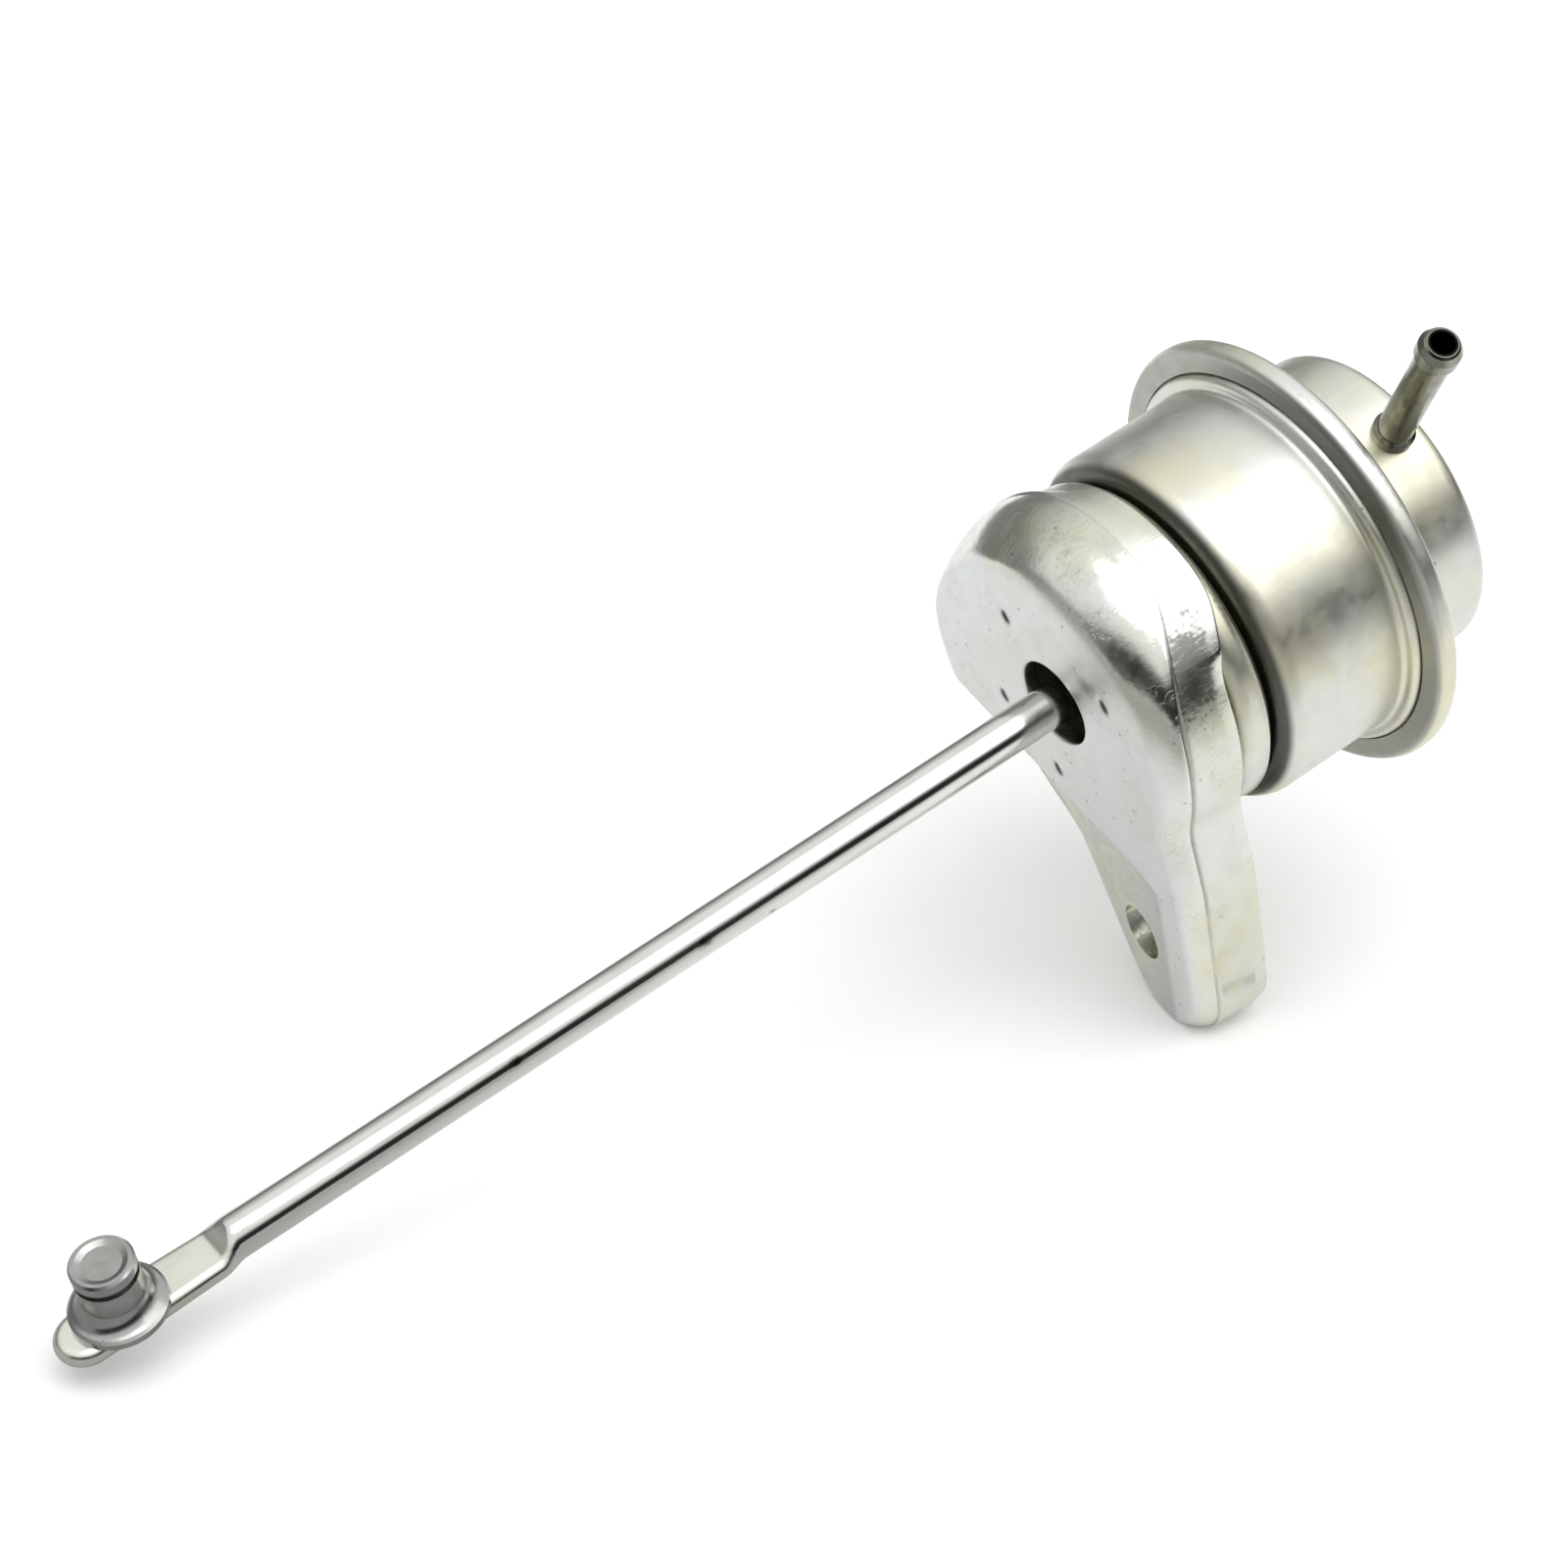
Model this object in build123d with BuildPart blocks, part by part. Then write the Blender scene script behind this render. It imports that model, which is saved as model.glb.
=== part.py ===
from build123d import *
from math import ceil, cos, radians, sin
import os

# Turbo wastegate actuator: a pressure can on a stamped bracket, with a sprung push rod
# that ends in a flattened blade and a riveted pivot pin.
# +X runs along the rod towards the can, +Z is the way the pivot pin stands,
# and the origin is the middle of the bolt hole's wall. Stations along the rod line are
# counted from the bracket's face.

# Placing of the bracket's face and the rod line from the bolt hole
face_x = -2.3
rod_line_y = 13.4
rod_line_z = 36.7

# Sheet thicknesses
bracket_sheet = 2.5
spacer_sheet = 1.2
can_sheet = 0.9
piston_sheet = 1.0
wiper_cap_sheet = 0.6
rubber_thickness = 0.8

# Bend radii of the pressed sheets, where they are plain
tight_bend = 0.5
piston_bend = 1.6

# Cover can and rolled rim
rim_radius = 32.7
lip_width = 3.7
rim_gap = 0.6
rim_corner = 1.4
cover_step = 9.9
cover_length = 14.7
cover_corner = 2.2
cover_foot_corner = 0.8
lip_inner_radius = rim_radius - lip_width
can_flange_radius = rim_radius - can_sheet - rim_gap
cover_radius = rim_radius - cover_step

# Lower can
lip_clearance = 0.3
shoulder_step = 1.9
shoulder_length = 2.0
boss_step = 5.0
can_boss_height = 4.4
can_length = 20.7
can_corner = 2.8
can_boss_corner = 1.6
shoulder_corner = 1.1
flange_foot_corner = 0.3
shoulder_radius = lip_inner_radius - lip_clearance
can_radius = shoulder_radius - shoulder_step
can_boss_radius = can_radius - boss_step

# Spacer cup between the bracket and the can
spacer_overhang = 2.5
spacer_neck_step = 8.8
spacer_neck_corner = 1.2
spacer_corner = 2.2
spacer_flare_corner = 0.8
spacer_land_width = 6.5
spacer_step_gap = 0.6
spacer_rear_length = 3.2
spacer_flare = 0.4
spacer_radius = can_boss_radius + spacer_overhang
spacer_front_radius = spacer_radius - spacer_neck_step
spacer_hole_radius = spacer_front_radius - spacer_land_width

# Bracket outline, measured from the rod line
bracket_inset = 0.4
bracket_radius = can_radius - bracket_inset
bracket_centre_y = 1.8
bracket_centre_z = -1.4
bracket_depth = 12.3
bracket_corner = 4.3
bracket_crown_corner = 10.0
bracket_crown_shift = 8.0
bracket_crown_angle = 3.0
bracket_band_step = 0.45
bracket_band_start = 3.3
bracket_band_turn_y = -24.0
bracket_band_slant = 27.0
ear_tip_radius = 8.4
ear_tip_y = -18.4
ear_tip_z = -43.2
ear_tip_reach = 35.0
ear_near_root = (-22.6, -6.0)
ear_near_middle = (-25.6, -21.0)
ear_far_root = (4.0, -26.0)
ear_waist_radius = 12.0
bolt_hole_diameter = 8.4
rod_hole_diameter = 12.9
weld_mark_inset = 2.0
weld_mark_diameter = 2.4
weld_mark_depth = 0.6
weld_mark_taper = 40.0
weld_mark_angles = (-42.0, 55.7, 183.0, 239.0)
weld_mark_reach = spacer_front_radius - weld_mark_inset

# Pressed facet on the ear, hinged beside the near edge
facet_hinge_y = -20.0
facet_hinge_z = -22.5
facet_tilt = 9.0
facet_crease_slope = 14.0
facet_hinge_lean = 4.0
facet_size = 2 * bracket_radius

# Hose nipple
nipple_angle = 24.5
nipple_station_from_end = 5.05
nipple_radius = 2.5
nipple_bore_radius = 1.7
nipple_collar_radius = 3.0
nipple_collar_height = 1.6
nipple_collar_land = 1.1
nipple_bead_radius = 3.05
nipple_height = 24.3
nipple_bead_length = 4.2
nipple_bead_rise = 1.0
nipple_bead_fall = 1.3
nipple_tip_chamfer = 0.3

# Rod and blade
rod_diameter = 6.0
rod_reach = 157.4
blade_length = 23.2
blade_taper_length = 3.2
blade_top = 0.6
blade_thickness = 2.8
blade_half_width = 4.1
blade_root_half_width = 3.7
blade_root_corner = 0.9
rod_neck_diameter = 4.4
rivet_head_radius = 4.0
rivet_head_height = 1.4
rivet_head_taper = 25.0

# Pivot pin
pin_from_tip = 9.4
pin_height = 9.4
pin_head_thickness = 1.6
pin_groove_radius = 3.3
pin_groove_width = 0.9
pin_body_radius = 4.2
pin_flare_radius = 4.9
pin_flange_radius = 6.4
pin_flange_thickness = 0.9
pin_shank_radius = 2.6
pin_dish_radius = 3.4
pin_dish_depth = 0.35
pin_dish_slope = 0.8
pin_edge = 0.3
pin_flange_edge = 0.4
pin_flare_height = 1.1
pin_flare_share = 0.5

# Piston, spring and guide
cover_gap = 3.6
piston_skirt_length = 13.0
piston_rest_gap = 3.9
retainer_inset = 3.5
retainer_stop_gap = 0.1
roll_gap = 0.6
roll_slack = 0.05
roll_share = 0.43
roll_drop = 4.5
roll_flange_corner = 1.0
washer_radius = 6.0
washer_thickness = 1.2
spring_wire = 2.2
spring_inset = 3.0
spring_turns = 6.5
seat_thickness = 1.5
seat_overhang = 3.5
seat_collar_gap = 0.6
seat_collar_share = 0.234
seat_collar_taper_share = 0.3
seat_collar_height = 3.4
bush_radius = 4.95
bush_flange_share = 0.416
bush_flange_thickness = 1.2
bush_length = 7.8
wiper_cap_radius = 7.2
wiper_cap_height = 3.6
wiper_cap_opening = 0.6
wiper_cap_corner = 0.9
felt_gap = 0.3
wiper_radius = wiper_cap_radius - wiper_cap_sheet - felt_gap

# Clearances
bush_clearance = 0.05
wiper_clearance = 0.05
neck_clearance = 0.05
seat_clearance = 0.4
pin_clearance = 0.02
nipple_clearance = 0.02

# Stations along the rod line, from the bracket's face
rod_radius = rod_diameter / 2
spacer_step_x = bracket_depth + spacer_step_gap
boss_x = spacer_step_x + spacer_sheet
can_face_x = boss_x + can_boss_height
can_shoulder_x = can_face_x + can_length
can_flange_x = can_shoulder_x + shoulder_length
lip_x = can_flange_x - can_sheet
rubber_x = can_flange_x + can_sheet
cover_flange_x = rubber_x + rubber_thickness
rim_rear_x = cover_flange_x + can_sheet
cover_end_x = rim_rear_x + cover_length
piston_head_x = cover_end_x - can_sheet - piston_rest_gap - rubber_thickness
piston_inner_x = piston_head_x - piston_sheet
retainer_x = piston_head_x + rubber_thickness
spring_start_x = boss_x + can_sheet + seat_thickness
nipple_x = cover_end_x - nipple_station_from_end

# Radii that follow from the can
piston_radius = cover_radius - can_sheet - rubber_thickness - cover_gap
retainer_radius = piston_radius - retainer_inset
spring_mean_radius = piston_radius - piston_sheet - spring_inset
seat_radius = spring_mean_radius + seat_overhang
seat_collar_radius = spring_mean_radius - spring_wire / 2 - seat_collar_gap

# The bush's flange and the seat's collar share the room between the bush and the spring
guide_room = seat_collar_radius - bush_radius
bush_flange_radius = bush_radius + bush_flange_share * guide_room
seat_collar_width = seat_collar_share * guide_room
seat_collar_taper = seat_collar_taper_share * seat_collar_width

# Reference planes and lines
meridian = Plane(origin=(face_x, rod_line_y, rod_line_z), x_dir=(1, 0, 0), z_dir=(0, -1, 0))
rod_line = Axis((face_x, rod_line_y, rod_line_z), (1, 0, 0))


def facing(station):
    """Plane across the rod line at a station, with +Y to its right and +Z up."""
    return Plane(origin=(face_x + station, rod_line_y, rod_line_z), x_dir=(0, 1, 0), z_dir=(1, 0, 0))


def sheet_back(points, corners, thickness):
    """Back face of a sheet: the profile moved to its right, with the corner radii that keep it even."""
    places = [Vector(*point) for point in points]
    ways = [(end - start).normalized() for start, end in zip(places, places[1:])]
    rights = [Vector(way.Y, -way.X) for way in ways]
    moved = [places[0] + rights[0] * thickness]
    radii = []
    for place, before, after, way, corner in zip(places[1:], rights, rights[1:], ways, corners):
        moved.append(place + (before + after) * (thickness / (1 + before.dot(after))))
        turns_left = way.dot(after) > 0
        radii.append(corner + thickness if turns_left else corner - thickness)
    moved.append(places[-1] + rights[-1] * thickness)
    return moved, radii


def pressed_sheet(points, corners, thickness):
    """Turned sheet metal: an outside profile with rounded corners, with the metal to its right."""
    back_points, back_corners = sheet_back(points, corners, thickness)
    with BuildPart() as sheet:
        with BuildSketch(meridian):
            with BuildLine():
                outside = FilletPolyline(*points, radius=corners)
                inside = FilletPolyline(*back_points, radius=back_corners)
                Line(outside @ 0, inside @ 0)
                Line(outside @ 1, inside @ 1)
            make_face()
        revolve(axis=rod_line)
    return sheet.part


def turned(points):
    """Solid of revolution about the rod line from a closed half section."""
    with BuildPart() as blank:
        with BuildSketch(meridian):
            with BuildLine():
                Polyline(*points, close=True)
            make_face()
        revolve(axis=rod_line)
    return blank.part


def facet_plane(depth):
    """Plane of the ear's pressed facet: X away from its hinge and into the part, Y down the ear."""
    tilt = radians(facet_tilt)
    return Plane(
        origin=(face_x + depth, rod_line_y + facet_hinge_y, rod_line_z + facet_hinge_z),
        x_dir=(sin(tilt), cos(tilt), 0),
        z_dir=(-cos(tilt), sin(tilt), 0),
    )


def crown(grow, front, rear):
    """Block whose front edge is rounded widely: it leaves a deep roll on the upper side of the face."""
    top = Vector(-sin(radians(bracket_crown_angle)), cos(radians(bracket_crown_angle)))
    centre = Vector(bracket_centre_y, bracket_centre_z) - top * bracket_crown_shift
    ear_tip = Vector(ear_tip_y, ear_tip_z)
    with BuildPart() as block:
        with BuildSketch(facing(front)):
            SlotCenterPoint(ear_tip, centre, 2 * (bracket_radius + bracket_crown_shift + grow))
        extrude(amount=rear - front)
        front_rim = block.faces().sort_by(Axis.X)[0].edges()
        fillet(front_rim, bracket_crown_corner + grow)
    return block.part


def pan(grow, front, corner, rear):
    """Bracket form: round face and hanging ear, with a rounded front edge and a pressed facet."""
    tip_way = Vector(cos(radians(ear_tip_reach)), sin(radians(ear_tip_reach)))
    with BuildPart() as form:
        with BuildSketch(facing(front)):
            with Locations((bracket_centre_y, bracket_centre_z)):
                Circle(bracket_radius)
            with BuildLine():
                Polyline(
                    (bracket_centre_y, bracket_centre_z),
                    ear_near_root,
                    ear_near_middle,
                    (ear_tip_y - ear_tip_radius, ear_tip_z),
                    (ear_tip_y, ear_tip_z),
                    (ear_tip_y + tip_way.X * ear_tip_radius, ear_tip_z - tip_way.Y * ear_tip_radius),
                    ear_far_root,
                    close=True,
                )
            make_face()
            with Locations((ear_tip_y, ear_tip_z)):
                Circle(ear_tip_radius)
            offset(amount=ear_waist_radius, kind=Kind.ARC)
            offset(amount=-ear_waist_radius + grow, kind=Kind.ARC)
        extrude(amount=rear - front)
        front_rim = form.faces().sort_by(Axis.X)[0].edges()
        fillet(front_rim, corner)
        add(crown(grow, front, rear), mode=Mode.INTERSECT)
        with BuildSketch(facet_plane(front)):
            with BuildLine():
                Polyline(
                    (0, 0),
                    (-facet_size * sin(radians(facet_hinge_lean)), facet_size),
                    (facet_size, facet_size),
                    (facet_size, facet_size * sin(radians(facet_crease_slope))),
                    close=True,
                )
            make_face()
        extrude(amount=facet_size / 4, mode=Mode.SUBTRACT)
    return form.part


# Band: the same form one step larger, cut off in front of a seam that slants back over the top
band_slant = radians(bracket_band_slant)
seam_plane = Plane(
    origin=(face_x + bracket_band_start, rod_line_y + bracket_band_turn_y, rod_line_z),
    z_dir=(cos(band_slant), -sin(band_slant), 0),
)
with BuildPart() as band:
    add(pan(bracket_band_step, -bracket_band_step, bracket_corner + bracket_band_step, bracket_depth))
    split(bisect_by=facing(bracket_band_start), keep=Keep.TOP)
    split(bisect_by=seam_plane, keep=Keep.TOP)

# Bracket: one deep stamping with a proud band round its wall, a rod hole and a bolt hole
with BuildPart() as bracket:
    add(pan(0.0, 0.0, bracket_corner, bracket_depth))
    add(band.part)
    add(
        pan(-bracket_sheet, bracket_sheet, bracket_corner - bracket_sheet, bracket_depth + bracket_sheet),
        mode=Mode.SUBTRACT,
    )
    with BuildSketch(facing(0)):
        Circle(rod_hole_diameter / 2)
    extrude(amount=bracket_depth, mode=Mode.SUBTRACT)
    with BuildSketch(facing(0)):
        with Locations((-rod_line_y, -rod_line_z)):
            Circle(bolt_hole_diameter / 2)
    extrude(amount=bracket_depth, mode=Mode.SUBTRACT)
    with BuildSketch(facing(0)):
        for angle in weld_mark_angles:
            with Locations((-weld_mark_reach * sin(radians(angle)), weld_mark_reach * cos(radians(angle)))):
                Circle(weld_mark_diameter / 2)
    extrude(amount=weld_mark_depth, taper=weld_mark_taper, mode=Mode.SUBTRACT)
bracket.part.label = "bracket"

# Spacer cup: welded to the bracket behind the marks, and stepped out to meet the can
with BuildPart() as spacer_cup:
    add(
        pressed_sheet(
            [
                (bracket_sheet, spacer_hole_radius),
                (bracket_sheet, spacer_front_radius),
                (spacer_step_x, spacer_front_radius),
                (spacer_step_x, spacer_radius),
                (boss_x + spacer_rear_length - 2 * spacer_flare, spacer_radius),
                (boss_x + spacer_rear_length - spacer_flare, spacer_radius + spacer_flare),
            ],
            [spacer_neck_corner, tight_bend, spacer_corner, spacer_flare_corner],
            spacer_sheet,
        )
    )
spacer_cup.part.label = "spacer_cup"

# Lower can: boss for the rod guide, drum, raised shoulder and clamping flange
with BuildPart() as lower_can:
    add(
        pressed_sheet(
            [
                (boss_x, bush_radius + bush_clearance),
                (boss_x, can_boss_radius),
                (can_face_x, can_boss_radius),
                (can_face_x, can_radius),
                (can_shoulder_x, can_radius),
                (can_shoulder_x, shoulder_radius),
                (can_flange_x, shoulder_radius),
                (can_flange_x, can_flange_radius),
            ],
            [can_boss_corner, tight_bend, can_corner, tight_bend, shoulder_corner, flange_foot_corner],
            can_sheet,
        )
    )
lower_can.part.label = "lower_can"

# Cover can: its flange is rolled over the lower can's flange as a lip
nipple_way = Vector(0, -sin(radians(nipple_angle)), cos(radians(nipple_angle)))
nipple_foot = Vector(face_x + nipple_x, rod_line_y, rod_line_z)
nipple_axis = Axis(nipple_foot, nipple_way)
nipple_section = Plane(origin=nipple_foot, x_dir=(1, 0, 0), z_dir=Vector(1, 0, 0).cross(nipple_way))

with BuildPart() as cover_can:
    add(
        pressed_sheet(
            [
                (lip_x, lip_inner_radius),
                (lip_x, rim_radius),
                (rim_rear_x, rim_radius),
                (rim_rear_x, cover_radius),
                (cover_end_x, cover_radius),
                (cover_end_x, 0),
            ],
            [rim_corner, rim_corner, cover_foot_corner, cover_corner],
            can_sheet,
        )
    )
    with BuildSketch(Plane(origin=nipple_foot, x_dir=(1, 0, 0), z_dir=nipple_way)):
        Circle(nipple_radius + nipple_clearance)
    extrude(amount=cover_radius + can_sheet, mode=Mode.SUBTRACT)
cover_can.part.label = "cover_can"

# Hose nipple: tube through the cover's wall, with a collar at its foot and a bead at its tip
nipple_start = cover_radius - 2 * can_sheet
nipple_tip = cover_radius + nipple_height
bead_start = nipple_tip - nipple_bead_length
with BuildPart() as hose_nipple:
    with BuildSketch(nipple_section):
        with BuildLine():
            Polyline(
                (nipple_bore_radius, nipple_tip),
                (nipple_bore_radius, nipple_start),
                (nipple_radius, nipple_start),
                (nipple_radius, cover_radius),
                (nipple_collar_radius, cover_radius),
                (nipple_collar_radius, cover_radius + nipple_collar_land),
                (nipple_radius, cover_radius + nipple_collar_height),
                (nipple_radius, bead_start),
                (nipple_bead_radius, bead_start + nipple_bead_rise),
                (nipple_bead_radius, nipple_tip - nipple_bead_fall),
                (nipple_radius, nipple_tip - nipple_tip_chamfer),
                (nipple_radius - nipple_tip_chamfer, nipple_tip),
                close=True,
            )
        make_face()
    revolve(axis=nipple_axis)
hose_nipple.part.label = "hose_nipple"

# Push rod: round bar, coined to a blade at the front, necked for the piston at the rear
blade_root_x = -rod_reach + blade_length
blade_middle_z = blade_top - blade_thickness / 2
pin_x = -rod_reach + pin_from_tip
with BuildPart() as rod:
    with BuildSketch(facing(blade_root_x + blade_taper_length)):
        Circle(rod_radius)
    extrude(amount=piston_inner_x - washer_thickness - blade_root_x - blade_taper_length)
    with BuildSketch(facing(blade_root_x + blade_taper_length)):
        Circle(rod_radius)
    with BuildSketch(facing(blade_root_x)):
        with Locations((0, blade_middle_z)):
            RectangleRounded(2 * blade_root_half_width, blade_thickness, blade_root_corner)
    loft()
    with BuildSketch(Plane(origin=(face_x, rod_line_y, rod_line_z + blade_top))):
        with BuildLine():
            Polyline(
                (blade_root_x, blade_root_half_width),
                (pin_x, blade_half_width),
                (pin_x - pin_from_tip + blade_half_width, blade_half_width),
            )
            tip = ThreePointArc(
                (pin_x - pin_from_tip + blade_half_width, blade_half_width),
                (-rod_reach, 0),
                (pin_x - pin_from_tip + blade_half_width, -blade_half_width),
            )
            Polyline(
                tip @ 1,
                (pin_x, -blade_half_width),
                (blade_root_x, -blade_root_half_width),
                (blade_root_x, blade_root_half_width),
            )
        make_face()
    extrude(amount=-blade_thickness)
    with BuildSketch(Plane(origin=(face_x + pin_x, rod_line_y, rod_line_z + blade_top))):
        Circle(pin_shank_radius + pin_clearance)
    extrude(amount=-blade_thickness, mode=Mode.SUBTRACT)
    with BuildSketch(facing(piston_inner_x - washer_thickness)):
        Circle(rod_neck_diameter / 2)
    extrude(amount=retainer_x + piston_sheet - piston_inner_x + washer_thickness)
    with BuildSketch(facing(retainer_x + piston_sheet)):
        Circle(rivet_head_radius)
    extrude(amount=rivet_head_height, taper=rivet_head_taper)
rod.part.label = "rod"

# Pivot pin: riveted in the blade, with a flared foot, a clip groove and a dished head
pin_foot = rod_line_z + blade_top
pin_section = Plane(origin=(face_x + pin_x, rod_line_y, pin_foot), x_dir=(1, 0, 0), z_dir=(0, -1, 0))
pin_top = pin_height
groove_top = pin_top - pin_head_thickness
groove_foot = groove_top - pin_groove_width
with BuildPart() as pivot_pin:
    with BuildSketch(pin_section):
        with BuildLine():
            foot = Polyline(
                (0, pin_top - pin_dish_depth),
                (0, -blade_thickness),
                (pin_shank_radius, -blade_thickness),
                (pin_shank_radius, 0),
                (pin_flange_radius, 0),
                (pin_flange_radius, pin_flange_thickness),
                (pin_flange_radius - pin_flange_edge, pin_flange_thickness + pin_edge),
            )
            flare = ThreePointArc(
                foot @ 1,
                (pin_flare_radius, pin_flange_thickness + pin_flare_height),
                (pin_body_radius, pin_flare_share * groove_foot),
            )
            Polyline(
                flare @ 1,
                (pin_body_radius, groove_foot),
                (pin_groove_radius, groove_foot),
                (pin_groove_radius, groove_top),
                (pin_body_radius, groove_top),
                (pin_body_radius, pin_top - pin_edge),
                (pin_body_radius - pin_edge, pin_top),
                (pin_dish_radius, pin_top),
                (pin_dish_radius - pin_dish_slope, pin_top - pin_dish_depth),
                (0, pin_top - pin_dish_depth),
            )
        make_face()
    revolve(axis=Axis((face_x + pin_x, rod_line_y, pin_foot), (0, 0, 1)))
pivot_pin.part.label = "pivot_pin"

# Piston cup, rubber diaphragm and retainer dish on the rod's neck
neck_hole = rod_neck_diameter / 2 + neck_clearance
skirt_end_x = piston_head_x - piston_skirt_length
with BuildPart() as piston_cup:
    add(
        pressed_sheet(
            [(skirt_end_x, piston_radius), (piston_head_x, piston_radius), (piston_head_x, neck_hole)],
            [piston_bend],
            piston_sheet,
        )
    )
piston_cup.part.label = "piston_cup"

roll_outer = can_radius - can_sheet - roll_gap
roll_inner = piston_radius + roll_slack
roll_front_x = skirt_end_x - roll_drop
roll_corner = roll_share * (roll_outer - roll_inner)
with BuildPart() as diaphragm:
    add(
        pressed_sheet(
            [
                (rubber_x, can_flange_radius),
                (rubber_x, roll_outer),
                (roll_front_x, roll_outer),
                (roll_front_x, roll_inner),
                (piston_head_x, roll_inner),
                (piston_head_x, neck_hole),
            ],
            [roll_flange_corner, roll_corner, roll_corner, piston_bend],
            -rubber_thickness,
        )
    )
diaphragm.part.label = "diaphragm"

with BuildPart() as retainer_dish:
    add(
        pressed_sheet(
            [
                (retainer_x, neck_hole),
                (retainer_x, retainer_radius),
                (cover_end_x - can_sheet - retainer_stop_gap, retainer_radius),
            ],
            [piston_bend],
            piston_sheet,
        )
    )
retainer_dish.part.label = "retainer_dish"

with BuildPart() as rod_washer:
    with BuildSketch(facing(piston_inner_x - washer_thickness)):
        Circle(washer_radius)
        Circle(neck_hole, mode=Mode.SUBTRACT)
    extrude(amount=washer_thickness)
rod_washer.part.label = "rod_washer"

# Coil spring between its seat and the piston's underside, swept one turn at a time
coil_length = piston_inner_x - spring_start_x - spring_wire
coil_pitch = coil_length / spring_turns
coil_start = face_x + spring_start_x + spring_wire / 2
with BuildPart() as spring:
    for turn in range(ceil(spring_turns)):
        with BuildLine():
            coil = Helix(
                pitch=coil_pitch,
                height=coil_pitch * min(1, spring_turns - turn),
                radius=spring_mean_radius,
                center=(coil_start + turn * coil_pitch, rod_line_y, rod_line_z),
                direction=(1, 0, 0),
            )
        with BuildSketch(Plane(origin=coil @ 0, z_dir=coil % 0)):
            Circle(spring_wire / 2)
        sweep(path=coil, is_frenet=True)
spring.part.label = "spring"

# Spring seat: moulded ring that centres the spring on the can's boss
seat_back_x = boss_x + can_sheet
seat_bore = bush_flange_radius + seat_clearance
with BuildPart() as spring_seat:
    add(
        turned(
            [
                (seat_back_x, seat_bore),
                (seat_back_x, seat_radius),
                (seat_back_x + seat_thickness, seat_radius),
                (seat_back_x + seat_thickness, seat_collar_radius),
                (seat_back_x + seat_thickness + seat_collar_height, seat_collar_radius - seat_collar_taper),
                (seat_back_x + seat_thickness + seat_collar_height, seat_collar_radius - seat_collar_width),
                (seat_back_x + seat_thickness, seat_collar_radius - seat_collar_width),
                (seat_back_x + seat_thickness, seat_bore),
            ]
        )
    )
spring_seat.part.label = "spring_seat"

# Rod bush: sintered guide with a flange behind the boss
bush_bore = rod_radius + bush_clearance
with BuildPart() as rod_bush:
    add(
        turned(
            [
                (boss_x, bush_bore),
                (boss_x, bush_radius),
                (seat_back_x, bush_radius),
                (seat_back_x, bush_flange_radius),
                (seat_back_x + bush_flange_thickness, bush_flange_radius),
                (seat_back_x + bush_flange_thickness, bush_radius),
                (boss_x + bush_length, bush_radius),
                (boss_x + bush_length, bush_bore),
            ]
        )
    )
rod_bush.part.label = "rod_bush"

# Wiper: felt ring held in a small cap on the front of the boss
with BuildPart() as wiper_cap:
    add(
        pressed_sheet(
            [
                (boss_x - wiper_cap_height, rod_radius + wiper_cap_opening),
                (boss_x - wiper_cap_height, wiper_cap_radius),
                (boss_x, wiper_cap_radius),
            ],
            [wiper_cap_corner],
            wiper_cap_sheet,
        )
    )
wiper_cap.part.label = "wiper_cap"

with BuildPart() as wiper_felt:
    with BuildSketch(facing(boss_x - wiper_cap_height + wiper_cap_sheet)):
        Circle(wiper_radius)
        Circle(rod_radius + wiper_clearance, mode=Mode.SUBTRACT)
    extrude(amount=wiper_cap_height - wiper_cap_sheet)
wiper_felt.part.label = "wiper_felt"

# Written pieces
pieces = (
    bracket, spacer_cup, lower_can, cover_can, hose_nipple, rod, pivot_pin, piston_cup, diaphragm,
    retainer_dish, rod_washer, spring, spring_seat, rod_bush, wiper_cap, wiper_felt,
)
os.makedirs("parts", exist_ok=True)
for piece in pieces:
    export_step(piece.part, f"parts/{piece.part.label}.step")
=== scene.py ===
# %% [markdown]
# # A turbo wastegate actuator, dressed for a studio picture
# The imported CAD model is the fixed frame: it says where every piece is, in metres, and which
# body it moves with. This lesson adds the looks: the finish of each metal, the few surfaces that
# are finer than their solids, the studio and the camera. Every new piece is a surface worked out
# with numpy, so its shape can be read as a formula.

import math

import bpy
import numpy as np
from mathutils import Matrix, Vector


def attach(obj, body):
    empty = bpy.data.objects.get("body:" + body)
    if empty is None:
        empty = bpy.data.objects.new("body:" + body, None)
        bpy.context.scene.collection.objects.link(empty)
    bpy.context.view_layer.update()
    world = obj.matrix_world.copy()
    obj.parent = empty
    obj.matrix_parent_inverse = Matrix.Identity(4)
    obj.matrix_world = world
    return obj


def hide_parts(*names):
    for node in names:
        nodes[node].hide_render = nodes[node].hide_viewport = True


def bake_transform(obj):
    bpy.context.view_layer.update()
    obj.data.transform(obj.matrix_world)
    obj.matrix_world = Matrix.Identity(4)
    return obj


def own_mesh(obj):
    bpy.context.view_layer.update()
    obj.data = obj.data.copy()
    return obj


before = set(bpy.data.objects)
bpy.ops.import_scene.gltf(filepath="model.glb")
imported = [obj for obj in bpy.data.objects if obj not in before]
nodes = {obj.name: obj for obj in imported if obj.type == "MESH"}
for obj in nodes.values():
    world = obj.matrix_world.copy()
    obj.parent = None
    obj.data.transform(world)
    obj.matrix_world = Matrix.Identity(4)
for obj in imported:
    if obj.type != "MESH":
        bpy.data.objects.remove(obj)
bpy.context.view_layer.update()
print("nodes:", ", ".join(sorted(nodes)))

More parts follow.
